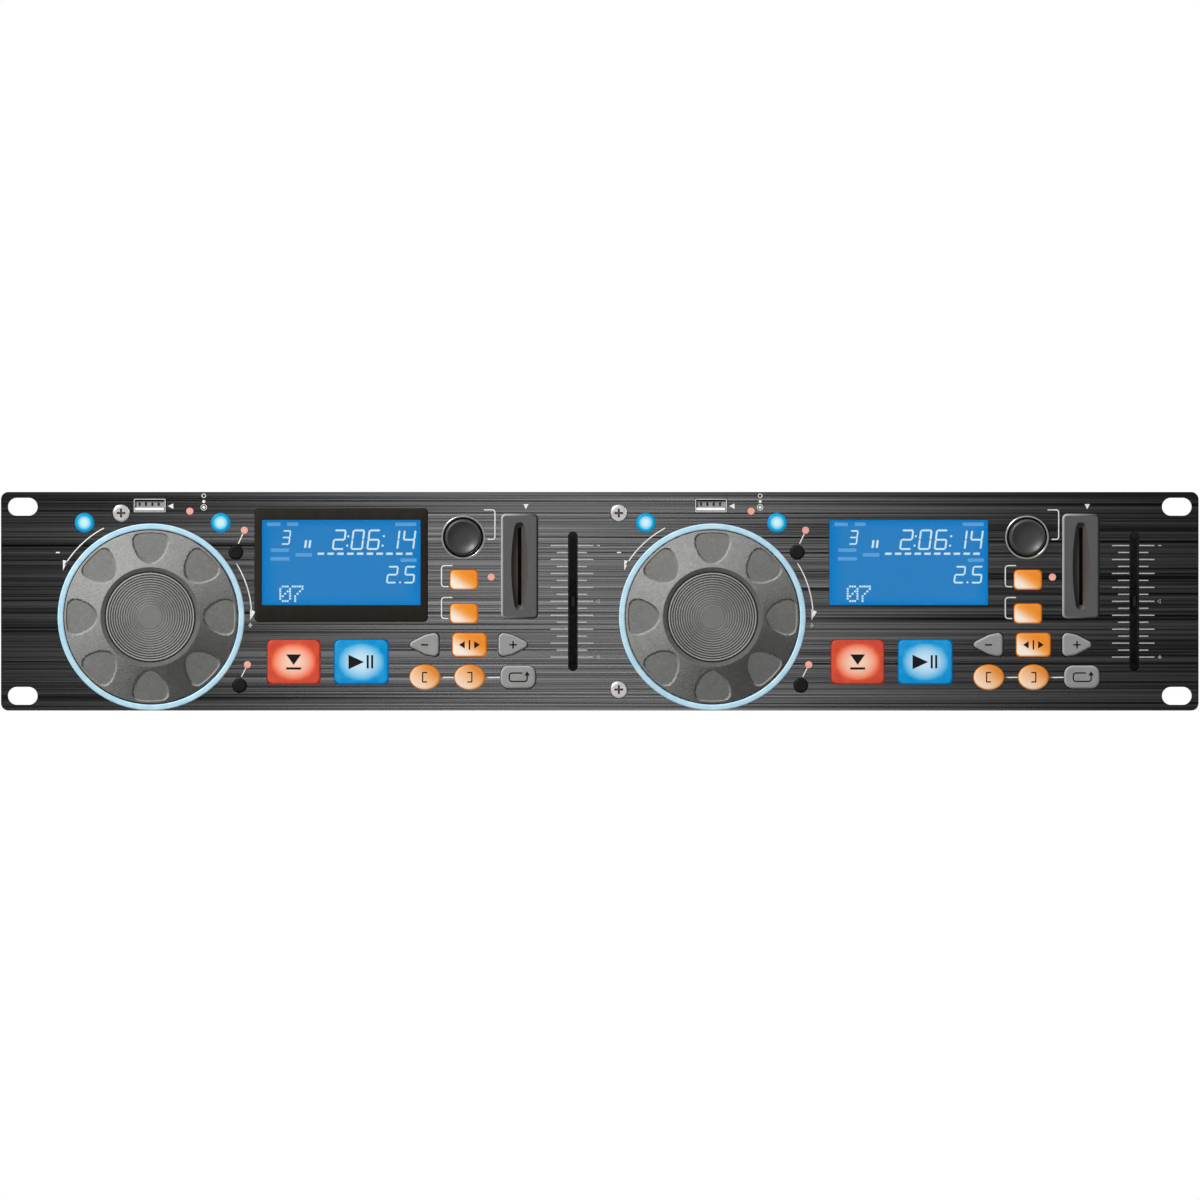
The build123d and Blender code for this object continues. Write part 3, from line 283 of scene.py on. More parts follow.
class Tree:
    """Shader nodes of a material or of the world."""

    def __init__(self, owner):
        owner.use_nodes = True
        self.tree = owner.node_tree

    def feed(self, target, value):
        """Links a socket to an input, or sets the input to a fixed value."""
        if isinstance(value, bpy.types.NodeSocket):
            self.tree.links.new(value, target)
        else:
            target.default_value = value

    def node(self, kind, *values, out=0, operation=None, **inputs):
        """Adds a node, feeds its inputs in order or by name, and returns one of its outputs."""
        made = self.tree.nodes.new("ShaderNode" + kind)
        if operation:
            made.operation = operation
        for target, value in zip(made.inputs, values):
            self.feed(target, value)
        for name, value in inputs.items():
            self.feed(made.inputs[name.replace("_", " ")], value)
        return made.outputs[out]

    def calculated(self, operation, first, second):
        return self.node("Math", first, second, operation=operation)

    def product(self, first, second):
        return self.calculated("MULTIPLY", first, second)

    def sum_of(self, first, second):
        return self.calculated("ADD", first, second)

    def seen_directly(self):
        """1 for rays from the camera and for what metal and glass show, otherwise 0."""
        total = self.node("LightPath", out="Is Camera Ray")
        for ray in ("Is Glossy Ray", "Is Transmission Ray"):
            total = self.calculated("MAXIMUM", total, self.node("LightPath", out=ray))
        return total


class Finish(Tree):
    """One procedural material, with helpers for the nodes that all of them use."""

    def __init__(self, name):
        self.material = bpy.data.materials.new(name)
        super().__init__(self.material)
        self.shader = self.tree.nodes["Principled BSDF"]
        self.place = self.node("TexCoord", out="Object")

    def set(self, **inputs):
        """Feeds the shader's inputs, and returns the finished material."""
        for name, value in inputs.items():
            self.feed(self.shader.inputs[name.replace("_", " ")], value)
        return self.material

    def noise(self, scale, detail=2.0, distortion=0.0, stretch=None):
        """Noise, or grain that runs one way where its place is stretched along the axes."""
        place = self.node("Mapping", Vector=self.place, Scale=stretch) if stretch else self.place
        return self.node("TexNoise", Vector=place, Scale=scale, Detail=detail, Distortion=distortion)

    def ramp(self, value, stops):
        """Colour ramp from (place, colour) stops."""
        made = self.tree.nodes.new("ShaderNodeValToRGB")
        self.feed(made.inputs["Fac"], value)
        elements = made.color_ramp.elements
        while len(elements) < len(stops):
            elements.new(0.5)
        for element, (place, colour) in zip(elements, stops):
            element.position = place
            element.color = colour
        return made.outputs["Color"]

    def mottled(self, value, colour, vary):
        return self.ramp(value, [(0.3, shade(colour, 1 - vary)), (0.7, shade(colour, 1 + vary))])

    def spread(self, value, low, high, start=0.25, end=0.75):
        """Stretches a value between start and end to the range from low to high."""
        return self.node("MapRange", Value=value, From_Min=start, From_Max=end, To_Min=low, To_Max=high)

    def bump(self, height, strength, distance):
        self.set(Normal=self.node("Bump", Height=height, Strength=strength, Distance=distance * MM))

    def tone(self):
        """The tone that Shape gave to each point."""
        made = self.tree.nodes.new("ShaderNodeAttribute")
        made.attribute_name = "tone"
        return made.outputs["Fac"]

    def brightened(self, colour, factor):
        return self.node("VectorMath", colour, operation="SCALE", Scale=factor)


def plain_finish(name, colour, rough, grain=500.0, vary=0.1, bump=0.01, gloss=0.1, metallic=0.0):
    """Moulded, painted or plated surface with slight variation and a fine grain."""
    finish = Finish(name)
    cloud = finish.noise(grain, 3.0)
    finish.bump(finish.noise(grain * 4), 0.4, bump)
    return finish.set(
        Base_Color=finish.mottled(cloud, linear(*colour), vary),
        Roughness=finish.spread(cloud, rough * 0.85, rough * 1.15), Metallic=metallic, Specular_IOR_Level=gloss)


def toned_finish(name, low, high, gloss):
    """Grey moulding whose colour follows the tone of its points, under a fine grain; those tones are painted light
    and shade.
    """
    finish = Finish(name)
    cloud = finish.noise(300.0, 3.0)
    tint = finish.ramp(finish.tone(), [(0.0, linear(*low)), (1.0, linear(*high))])
    finish.bump(finish.noise(1200.0), 0.3, 0.01)
    return finish.set(Base_Color=finish.brightened(tint, finish.spread(cloud, 0.94, 1.06)),
                      Roughness=finish.spread(cloud, 0.378, 0.462), Specular_IOR_Level=gloss)


def fascia_finish():
    """Dark anodised aluminium, brushed lengthwise in long fine brush lines, with a painted sheen: brightest in its
    middle, darker towards both ends and lighter towards the bottom.
    """
    finish = Finish("fascia_brushed")
    fine = finish.noise(1.0, 4.0, stretch=(3, 3, 1450))
    wide = finish.noise(1.0, 2.0, stretch=(2, 2, 560))
    streaks_and_painted_sheen = finish.sum_of(finish.product(fine, 0.8), finish.product(wide, 0.2))
    along, up = (finish.node("SeparateXYZ", finish.place, out=axis) for axis in "XZ")
    # painted shade: the colour runs lighter towards the bottom and darker towards the top
    streaks_and_painted_sheen = finish.sum_of(streaks_and_painted_sheen, finish.sum_of(finish.product(up, -0.3), 0.01))
    dark, light = (0.002, 0.002, 0.0022, 1), (0.0675, 0.0675, 0.0688, 1)
    # painted sheen falloff: the colour darkens towards both ends
    painted_light_fall = finish.sum_of(finish.product(finish.product(along, along), 15.0), 1.0)
    tint = finish.ramp(streaks_and_painted_sheen, [(0.38, dark), (0.73, light)])
    finish.bump(streaks_and_painted_sheen, 0.2, 0.01)
    return finish.set(Base_Color=finish.brightened(tint, finish.calculated("DIVIDE", 1.01, painted_light_fall)),
                      Roughness=finish.spread(streaks_and_painted_sheen, 0.33, 0.29), Metallic=1.0)


def leather_finish():
    """Grey rubber paint with a leather grain, smooth in the finger dimples, which get a painted shade that darkens
    them.
    """
    finish = Finish("wheel_leather")
    folds = finish.noise(520.0, 5.0, 1.6)
    creases = finish.tree.nodes.new("ShaderNodeTexVoronoi")
    creases.feature = "DISTANCE_TO_EDGE"
    finish.feed(creases.inputs["Vector"], finish.place)
    finish.feed(creases.inputs["Scale"], 1100.0)
    tint = finish.mottled(folds, linear(128, 128, 126), 0.14)
    height = finish.sum_of(finish.product(creases.outputs["Distance"], 1.2), folds)
    grain = finish.spread(finish.tone(), 1.0, 0.12, 0.0, 1.0)
    finish.bump(finish.product(height, grain), 0.6, 0.2)
    # painted shade: the colour is darkened where the tone marks a dimple
    sunk = finish.spread(finish.tone(), 1.0, 0.8, 0.0, 1.0)
    return finish.set(Base_Color=finish.brightened(tint, sunk), Roughness=finish.spread(folds, 0.55, 0.65),
                      Specular_IOR_Level=0.15)


def lit_finish(name, stops, strength=0.6, mottle=0.12, gloss=0.1):
    """Translucent key or lamp lit from behind; its colour follows the tone through some stops, and on the keys that
    tone is painted light and shade, in the base colour as in the glow.
    """
    finish = Finish(name)
    haze = finish.noise(260.0)
    level = finish.sum_of(finish.product(haze, mottle), finish.tone())
    stops = [(place, linear(*colour)) for place, colour in stops]
    base = finish.ramp(level, [(place, shade(colour, 1 - strength)) for place, colour in stops])
    finish.bump(finish.noise(1600.0), 0.1, 0.01)
    return finish.set(Base_Color=base, Roughness=finish.spread(haze, 0.3, 0.38), Specular_IOR_Level=gloss,
                      Emission_Color=finish.ramp(level, stops), Emission_Strength=strength)


def glass_finish():
    finish = Finish("window_clear")
    smear = finish.noise(60.0, 3.0)
    finish.bump(smear, 0.02, 0.01)
    return finish.set(Base_Color=finish.ramp(smear, [(0.0, (0.93, 0.95, 0.96, 1)), (1.0, (1, 1, 1, 1))]),
                      Roughness=finish.spread(smear, 0.02, 0.05), Transmission_Weight=1.0, IOR=1.08)


PLAIN = {  # colour, roughness, then grain, variation, bump, gloss and share of metal
    "hub_rubber": ((92, 92, 88), 0.6, 700, 0.12, 0.03, 0.15),
    "black_plastic": ((34, 34, 35), 0.5, 500, 0.2, 0.03, 0.2),
    "black_satin": ((36, 36, 37), 0.52, 400, 0.12, 0.005, 0.42),
    "bezel_black": ((40, 36, 32), 0.4, 300, 0.1, 0.005, 0.05),
    "card_scoop": ((70, 64, 61), 0.45, 600, 0.08),
    # deep_black, inside the card slot, is lighter than black: painted light that lifts the slot's shade
    "deep_black": ((64, 60, 56), 0.7, 600, 0.2, 0.01, 0.05),
    # fader_well is light to lift the deep shade seen in the pitch slot: painted light
    "fader_well": ((140, 140, 142), 0.6, 600, 0.15),
    "socket_tongue": ((146, 146, 144), 0.5, 500, 0.08, 0.01, 0.2),
    "socket_contacts": ((30, 29, 28), 0.5, 500, 0.1, 0.01, 0.05),
    "jack_red": ((176, 38, 34), 0.4, 500, 0.06, 0.01, 0.3),
    "jack_white": ((214, 212, 206), 0.4, 500, 0.04, 0.01, 0.3),
    "line_ink": ((188, 188, 186), 0.6, 300, 0.03, 0.003),
    "powder_coat": ((40, 40, 42), 0.55, 900, 0.25, 0.06, 0.5),
    "foot_rubber": ((34, 34, 34), 0.8, 500, 0.2, 0.05, 0.5),
    "solder_mask": ((22, 84, 48), 0.35, 250, 0.2, 0.01, 0.5),
    "grey_key": ((153, 153, 152), 0.5, 300, 0.05),
    "black_key": ((28, 27, 27), 0.5, 300, 0.15, 0.01, 0.05),
    "white_ink": ((236, 236, 233), 0.6, 300, 0.03, 0.003),
    "dark_ink": ((30, 27, 30), 0.6, 300, 0.08, 0.003, 0.05),
    "socket_spring": ((247, 247, 247), 0.3, 500, 0.04, 0.01, 0.5, 1),
    "screw_nickel": ((186, 185, 183), 0.34, 500, 0.08, 0.01, 0.5, 1),
    # the screws' cross recess is darker than the head: painted shade
    "screw_recess": ((104, 84, 80), 0.5, 500, 0.1, 0.01, 0.5, 1),
    "trim_ring": ((150, 150, 149), 0.35, 500, 0.06, 0.005, 0.5, 1),
    "plated_steel": ((212.2, 212.2, 210.8), 0.28, 500, 0.08, 0.01, 0.5, 1),
    "turned_brass": ((206.4, 180.6, 129.1), 0.3, 500, 0.1, 0.01, 0.5, 1),
}
LIT = {  # stops of (tone, colour), then strength, mottling and gloss
    "ring_lit": ([(0, (150, 202, 228)), (1, (212, 236, 244))], 0.55, 1.0),
    "red_key": ([(0.05, (154, 50, 40)), (0.18, (200, 72, 54)), (0.34, (240, 108, 70)), (1, (250, 208, 184))],),
    "blue_key": ([(0.05, (0, 104, 168)), (0.18, (4, 142, 206)), (0.34, (80, 178, 226)), (1, (196, 230, 248))],),
    "orange_key": ([(0.06, (210, 108, 20)), (0.2, (238, 142, 46)), (0.5, (244, 164, 80)), (1, (250, 236, 220))],),
    "oval_key": ([(0.06, (206, 118, 34)), (0.2, (224, 138, 52)), (0.55, (241, 184, 132)), (1, (246, 222, 198))],),
    "round_blue": ([(0.06, (0, 138, 196)), (0.3, (10, 176, 220)), (1, (206, 242, 250))], 0.7),
    "lamp_salmon": ([(0.1, (228, 138, 120)), (1, (252, 208, 194))], 0.6, 0.8),
    "screen_blue": ([(0, (4, 124, 198)), (1, (44, 127, 192))], 0.9, 0.12, 0.0),
    "screen_glyph": ([(0, (200, 228, 238)), (1, (225, 240, 235))], 0.9, 0.12, 0.0),
    "screen_dim": ([(0, (92, 158, 212)), (1, (110, 168, 216))], 0.9, 0.12, 0.0),
}
MATERIALS = {
    "fascia_brushed": fascia_finish(), "wheel_leather": leather_finish(), "window_clear": glass_finish(),
    "disc_satin": toned_finish("disc_satin", (44, 44, 42), (160, 160, 157), 0.2),
    "card_slot_grey": toned_finish("card_slot_grey", (56, 56, 56), (150, 150, 150), 0.12),
    **{name: plain_finish(name, *values) for name, values in PLAIN.items()},
    **{name: lit_finish(name, *values) for name, values in LIT.items()},
}
DRESS = {  # finish, and the nodes or slots that have it
    "fascia_brushed": "front_panel", "powder_coat": "chassis top_cover sub_panel rear_panel",
    "black_plastic": "cover_screws lcd_modules rear_jacks power_inlet black_plastic", "ring_lit": "jog_light_rings",
    "turned_brass": "jog_bearings", "card_slot_grey": "card_slot_bezels", "fader_well": "pitch_faders",
    "plated_steel": "usb_sockets panel_screws socket_steel", "black_satin": "power_rocker knob_black",
    "foot_rubber": "rubber_feet", "lamp_salmon": "indicator_leds", "window_clear": "display_windows",
    "solder_mask": "control_boards main_board power_supply", "round_blue": "key_blue", "black_key": "key_black",
    "red_key": "key_red", "orange_key": "key_orange", "grey_key": "key_grey", "wheel_leather": "wheel_grey",
    "disc_satin": "disc_grey",
}
FINISH_OF = {word: finish for finish, words in DRESS.items() for word in words.split()}
for name, node in nodes.items():
    node.data.materials.clear()
    node.data.materials.append(MATERIALS[FINISH_OF.get(name) or FINISH_OF[SLOT_OF[name]]])


# ---------- jog wheels and their discs

HUB_RADIUS = 20.0
HUB_BEVEL_RADIUS = 18.35
HUB_BEVEL_DROP = 0.4
POCKET_DROP = 2.1
RIM_ROUND = 0.5
RIM_PROUD = 6.4
WHEEL_BASE = 0.9
WHEEL_SKIN = 2.2  # what the hollow underside leaves of the rim
HOLLOW = 2.8
BOSS, BOSS_FOOT = 6.0, 0.8
SPINDLE = 3.0
ENCODER = (20.0, -6.0, -6.8)  # radius, front and back of the encoder disc
DIMPLES = 8
DIMPLE_OUTER = 34.1
DIMPLE_HALF = 7.35
DIMPLE_WIDEST = 31.0
DIMPLE_REACH = 9.7  # from a dimple's widest place to its inner end
DIMPLE_TAPER = 1.75
DIMPLE_CORNER = 2.6
DIMPLE_FLOOR = 5.9
DIMPLE_RISE = 1.6
DIMPLE_SOFT = 0.45  # width over which a dimple's wall rolls into its floor
WHEEL_TURNS = 480  # points round the wheel
WHEEL_RINGS = 44


def smooth_step(value):
    value = min(max(value, 0.0), 1.0)
    return value * value * (3 - 2 * value)


def dimple_share(radius, angle):
    """How far a point on the wheel has sunk to a dimple's floor: 0 outside, 1 on the floor."""
    step = 2 * math.pi / DIMPLES
    off = (angle + step / 2) % step - step / 2
    along, across = radius * math.cos(off), abs(radius * math.sin(off))
    inward = max(DIMPLE_WIDEST - along, 0.0) / DIMPLE_REACH
    if inward >= 1:
        return 0.0
    half = DIMPLE_HALF * math.sqrt(1 - inward**DIMPLE_TAPER)
    lean = DIMPLE_HALF**2 / max(half, 0.5) * DIMPLE_TAPER * inward ** (DIMPLE_TAPER - 1) / (2 * DIMPLE_REACH)
    side = (half - across) / math.hypot(1.0, lean)
    end = DIMPLE_OUTER - radius
    inside = min(side, end)
    if side < DIMPLE_CORNER and end < DIMPLE_CORNER:
        inside = DIMPLE_CORNER - math.hypot(DIMPLE_CORNER - side, DIMPLE_CORNER - end)
    return smooth_step(inside / DIMPLE_SOFT)


def add_jog_wheel(deck):
    """Wheel with soft finger dimples, a darker hub edge, its spindle and its encoder disc."""
    node = f"{deck}_jog_wheel"
    x, z, width, _, hub, tail = box(node)
    outer = width / 2
    base, rim = face + WHEEL_BASE, face + RIM_PROUD
    span = outer - RIM_ROUND - HUB_RADIUS
    shape = Shape()

    def cone_ring(share):
        radius = HUB_RADIUS + span * share
        cone = hub - (hub - rim) * share
        floor = face + DIMPLE_FLOOR + DIMPLE_RISE * (DIMPLE_OUTER - radius) / (DIMPLE_OUTER - HUB_RADIUS)
        # the dimple share is also each point's tone, which paints shade into the dimples
        sunk = [dimple_share(radius, 2 * math.pi * k / WHEEL_TURNS) for k in range(WHEEL_TURNS)]
        places = zip(circle(x, z, radius, WHEEL_TURNS), sunk)
        return shape.add([(px, cone - depth * (cone - floor), pz) for (px, pz), depth in places], sunk)

    def rings(*profile):
        return shape.rings(x, z, profile, WHEEL_TURNS)

    cone = [cone_ring(k / WHEEL_RINGS) for k in range(WHEEL_RINGS + 1)]
    shape.loft(cone, False, False)
    skin, hollow, foot = outer - WHEEL_SKIN, base + HOLLOW, base + BOSS_FOOT
    disc, disc_front, disc_back = ENCODER
    under = rings((outer - 0.15, rim - 0.15), (outer, rim - RIM_ROUND), (outer, base), (skin, base), (skin, hollow),
                  (BOSS, hollow), (BOSS, foot), (SPINDLE, foot), (SPINDLE, disc_front), (disc, disc_front),
                  (disc, disc_back), (SPINDLE, disc_back), (SPINDLE, tail))
    shape.loft(cone[-1:] + under, False)
    shape.finish = 1
    edge = cone[:1] + rings((HUB_RADIUS - 0.15, hub - 0.03), (HUB_BEVEL_RADIUS, hub - HUB_BEVEL_DROP))
    shape.loft(edge, False, False)
    shape.finish = 2
    shape.loft(edge[-1:] + rings((HUB_BEVEL_RADIUS - 0.1, hub - POCKET_DROP), (1.0, hub - POCKET_DROP)), False)
    return shape.build(f"{deck}_wheel_body", "wheel_leather hub_rubber black_plastic", node, node)


GROOVES = 13
GROOVE_PITCH = 0.98
GROOVE_START = 4.8
GROOVE_DEPTH = 0.22
DISC_DISH = 0.7


def add_jog_disc(deck):
    """Satin disc with concentric grooves and a raised lip, let into the hub; its tones paint shade into the grooves
    and sheen onto the lands.
    """
    disc = box(f"{deck}_jog_disc")
    outer, lip, back = disc.width / 2 - 0.2, disc.front, disc.back
    plain = lip - DISC_DISH
    profile = [(outer - 0.15, back, 0.2), (outer, back + 0.2, 0.2), (outer, lip - 0.12, 0.3),
               (outer - 0.12, lip, 1.0), (outer - 0.5, lip, 1.0), (outer - 0.62, plain, 0.3)]
    # groove floors get a low tone, a painted shade, and the lands a high one, a painted sheen that grows towards
    # the rim
    for k in reversed(range(GROOVES)):
        start = GROOVE_START + GROOVE_PITCH * k
        sunk, dark, light = plain - GROOVE_DEPTH, 0.4 * (1 - k / GROOVES), 0.56 + 0.4 * k / GROOVES
        profile += [(start + 0.68, plain, light), (start + 0.58, sunk, dark), (start + 0.1, sunk, dark),
                    (start, plain, light)]
    profile += [(GROOVE_START - 0.3, plain, 0.48), (3.0, plain, 0.49), (1.0, plain, 0.5)]
    shape = Shape()
    shape.loft(shape.rings(*jog[deck], profile, 144))
    return shape.build(f"{deck}_disc_grooved", "disc_satin", f"{deck}_jog_wheel", f"{deck}_jog_disc")


# ---------- key caps and search knobs

KEY_FLANGE = 1.0
KEY_FLANGE_THICK = 1.0
KEY_FLANGE_FRONT = -0.05
STEM_HALF = 1.5
PICK_CORNER = 1.5
PICK_BASE_CORNER = 2.0
PICK_BELLY = 0.9
CROWN = 0.45  # how far a cap's edge rolls down from its flat middle
CROWN_SPREAD = 1.6  # width of the roll for its drop
PAINTED_RIM_TONE = 0.14  # tone next to a lit key's rim; the rim itself has 0: painted shade at the rim


def hull(points):
    """Convex outline round points, anticlockwise."""
    points = sorted(set(points))

    def half(run):
        chain = []
        for x, z in run:
            while len(chain) > 1:
                (x0, z0), (x1, z1) = chain[-2:]
                if (x1 - x0) * (z - z0) > (z1 - z0) * (x - x0):
                    break
                chain.pop()
            chain.append((x, z))
        return chain[:-1]

    return half(points) + half(points[::-1])


def pick(x, z, width, height, side):
    """Guitar-pick outline whose point lies at side +1 or -1."""
    belly = height / 2 * PICK_BELLY
    blunt = x - side * (width / 2 - PICK_BASE_CORNER)
    points = circle(x - side * (width / 2 - belly), z, belly, 72)
    points += circle(x + side * (width / 2 - PICK_CORNER), z, PICK_CORNER, 48)
    for edge in (-1, 1):
        points += circle(blunt, z + edge * (height / 2 - PICK_BASE_CORNER), PICK_BASE_CORNER, 48)
    return hull(points)


def cap_outline(form, x, z, width, height):
    """Outline of a cap by its form, which is a word or the radius of a block's corners."""
    if form == "round":
        return circle(x, z, width / 2, 64)
    if form == "oval":
        return oval(x, z, width, height)
    if form in ("left", "right"):
        return pick(x, z, width, height, -1 if form == "left" else 1)
    return subdivided(rounded(x, z, width, height, form), 1.2)


def centred(painted_light_fall):
    """Tone of a key with a painted highlight in its middle, falling to painted shade towards its rim; u and v run
    from -1 to 1 across the key.
    """
    return lambda u, v: 1 - painted_light_fall * (u**2 + v**2)


def slanted(level, painted_light_fall):
    """Tone of a key with a painted highlight towards its lower left."""
    return lambda u, v: level - painted_light_fall * (u + v)


KEYS = {}  # form, finish and tone, which is painted light and shade
for names, *looks in (
        ("source mode", "round", "round_blue", centred(1.35)), ("brake reverse", "round", "black_key", None),
        ("cue", 2.4, "red_key", centred(1.15)), ("play", 2.4, "blue_key", centred(1.15)),
        ("single time pitch", 1.9, "orange_key", slanted(0.46, 0.5)),
        ("minus", "left", "grey_key", None), ("plus", "right", "grey_key", None),
        ("loop_in loop_out", "oval", "oval_key", slanted(0.5, 0.35)), ("reloop", 3.4, "grey_key", None)):
    KEYS.update(dict.fromkeys(names.split(), looks))


def cap_box(deck, key):
    """Box of a key with the size of its cap."""
    key = box(f"{deck}_{key}_button")
    return key._replace(width=key.width - 2 * KEY_FLANGE, height=key.height - 2 * KEY_FLANGE)


def add_key(deck, key):
    """Moulded cap with rolled edges, the flange that holds it and the stem behind it."""
    form, finish, paint_key_light = KEYS[key]
    x, z, width, height, front, tail = cap_box(deck, key)

    # painted light: each point's tone from the key's painted highlight, no lower than the painted rim shade
    def painted_key_light(px, pz):
        if not paint_key_light:
            return 0.0
        return min(max(paint_key_light((px - x) / (width / 2), (pz - z) / (height / 2)), PAINTED_RIM_TONE), 1.0)

    outline = cap_outline(form, x, z, width, height)
    shape = Shape()
    loops = [shape.loop(outline, KEY_FLANGE_FRONT), shape.loop(outline, front - CROWN)]
    for step in (0.3, 0.6, 0.85, 1.0):
        rolled = inset(outline, CROWN * (1 - math.sqrt(1 - step**2)) * CROWN_SPREAD)
        loops.append(shape.loop(rolled, front - CROWN + CROWN * step, lambda px, pz: step * painted_key_light(px, pz)))
    flat = inset(outline, CROWN * CROWN_SPREAD)
    for share in (0.93, 0.85, 0.75, 0.62, 0.48, 0.34, 0.2, 0.08):
        loops.append(shape.loop(scaled(flat, share), front, painted_key_light))
    shape.loft(loops)
    back = KEY_FLANGE_FRONT - KEY_FLANGE_THICK
    shape.block(rounded(x, z, width + 2 * KEY_FLANGE, height + 2 * KEY_FLANGE, 0.6), back, KEY_FLANGE_FRONT)
    shape.block(rounded(x, z, 2 * STEM_HALF, 2 * STEM_HALF, 0.3), tail, back)
    node = f"{deck}_{key}_button"
    return shape.build(f"{deck}_{key}_cap", finish, node, node)


DISH_RADIUS = 6.2
DISH_DEPTH = 1.9


def rolled_edge(steps):
    """Steps over a rolled edge, as (share inwards, share up)."""
    angles = [math.pi / 2 * k / steps for k in range(1, steps + 1)]
    return [(1 - math.cos(a), math.sin(a)) for a in angles]


def add_knob(deck):
    """Soft black knob with a finger dish, and its shaft."""
    node = f"{deck}_search_knob"
    x, z, width, _, crown, tail = box(node)
    radius = width / 2
    profile = [(2.9, tail), (3.0, tail + 0.1), (3.0, -0.4), (radius, -0.4), (radius - 0.3, crown - 1.4)]
    profile += [(radius - 0.3 - 0.85 * inwards, crown - 0.9 + 0.9 * up) for inwards, up in rolled_edge(7)]
    shares = [1 - k / 13 for k in range(1, 13)]
    profile += [(DISH_RADIUS * share, crown - DISH_DEPTH * (1 - share**3)) for share in shares]
    shape = Shape()
    shape.loft(shape.rings(x, z, profile))
    return shape.build(f"{deck}_knob_soft", "black_satin", node, node)


# ---------- printed marks

LINE = 0.42  # width of a printed line


class Ink(Shape):
    """Marks printed on a flat place at some height; they are given from a middle that can be moved."""

    def __init__(self, flat, at, side=1, sink=INK_SINK):
        super().__init__()
        self.at = at
        self.span = flat - side * sink, flat + side * INK_LIFT

    def patch(self, *outlines):
        for outline in outlines:
            self.block(moved(outline, *self.at), *self.span)

    def line(self, points, width=LINE, bend=0.0):
        """Line through some points, with its inner corners rounded."""
        self.ribbon(moved(bent(points, bend) if bend else points, *self.at), width, *self.span)


def bent(points, radius):
    """Line with its inner corners rounded."""
    result = points[:1]
    for before, corner, after in zip(points, points[1:], points[2:]):
        start, end = (between(corner, other, min(radius / math.dist(corner, other), 0.5))
                      for other in (before, after))
        for t in (0.0, 0.2, 0.4, 0.6, 0.8, 1.0):
            result.append(between(between(start, corner, t), between(corner, end, t), t))
    return result + points[-1:]


# ---------- displays

VIEW = (63.9, 34.4)  # visible part of each display
VIEW_MARGIN = 2.4
WINDOW = (69.7, 45.7, 1.8)  # width, height and corners of the left window
WINDOW_DROP = 1.03  # left window's centre below the centre of its display
PANE = 1.0
PANE_SINK = 0.1
SCREEN_FRONT = 1.6
SEGMENTS = {
    "a": (0, 1, 1, 1), "b": (1, 0.5, 1, 1), "c": (1, 0, 1, 0.5), "d": (0, 0, 1, 0),
    "e": (0, 0, 0, 0.5), "f": (0, 0.5, 0, 1), "g": (0, 0.5, 1, 0.5),
}
DIGITS = {"0": "abcdef", "1": "bc", "2": "abged", "3": "abgcd", "4": "fgbc", "5": "afgcd", "6": "afgedc"}
DOTS = {"0": ("01110", "10001", "10011", "10101", "11001", "10001", "01110"),
        "7": ("11111", "00001", "00010", "00100", "01000", "01000", "01000")}
DOT_PITCH = 0.98
DOT = 0.76
SLANT = 0.13
TIME = (9.2, 4.3, 7.5, 0.75)  # rise, width, height and weight of the running time
TEMPO = (-4.9, 3.7, 6.4, 0.7)
FIGURES = (("2", -0.8, *TIME), ("0", 6.65, *TIME), ("6", 13.1, *TIME), ("1", 20.9, *TIME), ("4", 27.3, *TIME),
           ("3", -22.2, 10.1, 2.9, 5.3, 0.6), ("2", 20.6, *TEMPO), ("5", 27.6, *TEMPO))
STATUS_BARS = ((-27.2, 15.4, 5.4), (-19.6, 15.4, 4.4), (26.0, 15.4, 8.4), (-24.7, 5.0, 7.2),
               (-24.7, 1.5, 7.6), (-15.1, 3.1, 6.6), (27.1, 0.95, 6.4))


def leaning(points, z):
    return [(px + (pz - z) * SLANT, pz) for px, pz in points]


def bar(x0, z0, x1, z1, width):
    """Six-sided display segment between two points."""
    length = math.hypot(x1 - x0, z1 - z0)
    dx, dz = (x1 - x0) / length * width / 2, (z1 - z0) / length * width / 2
    return [(x0, z0), (x0 + dx + dz, z0 + dz - dx), (x1 - dx + dz, z1 - dz - dx), (x1, z1),
            (x1 - dx - dz, z1 - dz + dx), (x0 + dx - dz, z0 + dz + dx)]


def digit(value, x, z, width, height, weight):
    """Seven-segment digit as leaning outlines."""
    outlines = []
    for name in DIGITS[value]:
        x0, z0, x1, z1 = SEGMENTS[name]
        ends = [x + (x0 - 0.5) * width, z + (z0 - 0.5) * height, x + (x1 - 0.5) * width, z + (z1 - 0.5) * height]
        outlines.append(leaning(bar(*ends, weight), z))
    return outlines


def dot_digit(value, x, z):
    outlines = []
    for row, line in enumerate(DOTS[value]):
        for column, lit in enumerate(line):
            if lit == "1":
                cx, cz = x + (column - 2) * DOT_PITCH, z + (3 - row) * DOT_PITCH
                outlines.append(oblong(cx - DOT / 2, cx + DOT / 2, cz - DOT / 2, cz + DOT / 2))
    return outlines


def display_figures():
    """Plain running figures: no words, and not the figures of the photograph."""
    outlines = [outline for figure in FIGURES for outline in digit(*figure)]
    outlines += [leaning(circle(x, TIME[0] + rise, 0.45, 8), TIME[0]) for x in (2.7, 17.0) for rise in (-2.4, 1.4)]
    outlines += [leaning(oblong(x, x + 0.9, 5.9, 9.0), 7.5) for x in (-14.8, -13.1)]
    outlines += [leaning(oblong(x, x + 2.6, 3.1, 4.0), 3.5) for x in (-9.5 + 3.95 * k for k in range(10))]
    outlines.append(circle(23.7, -8.0, 0.42, 8))
    return outlines + dot_digit("0", -22.6, -12.6) + dot_digit("7", -17.6, -12.6)


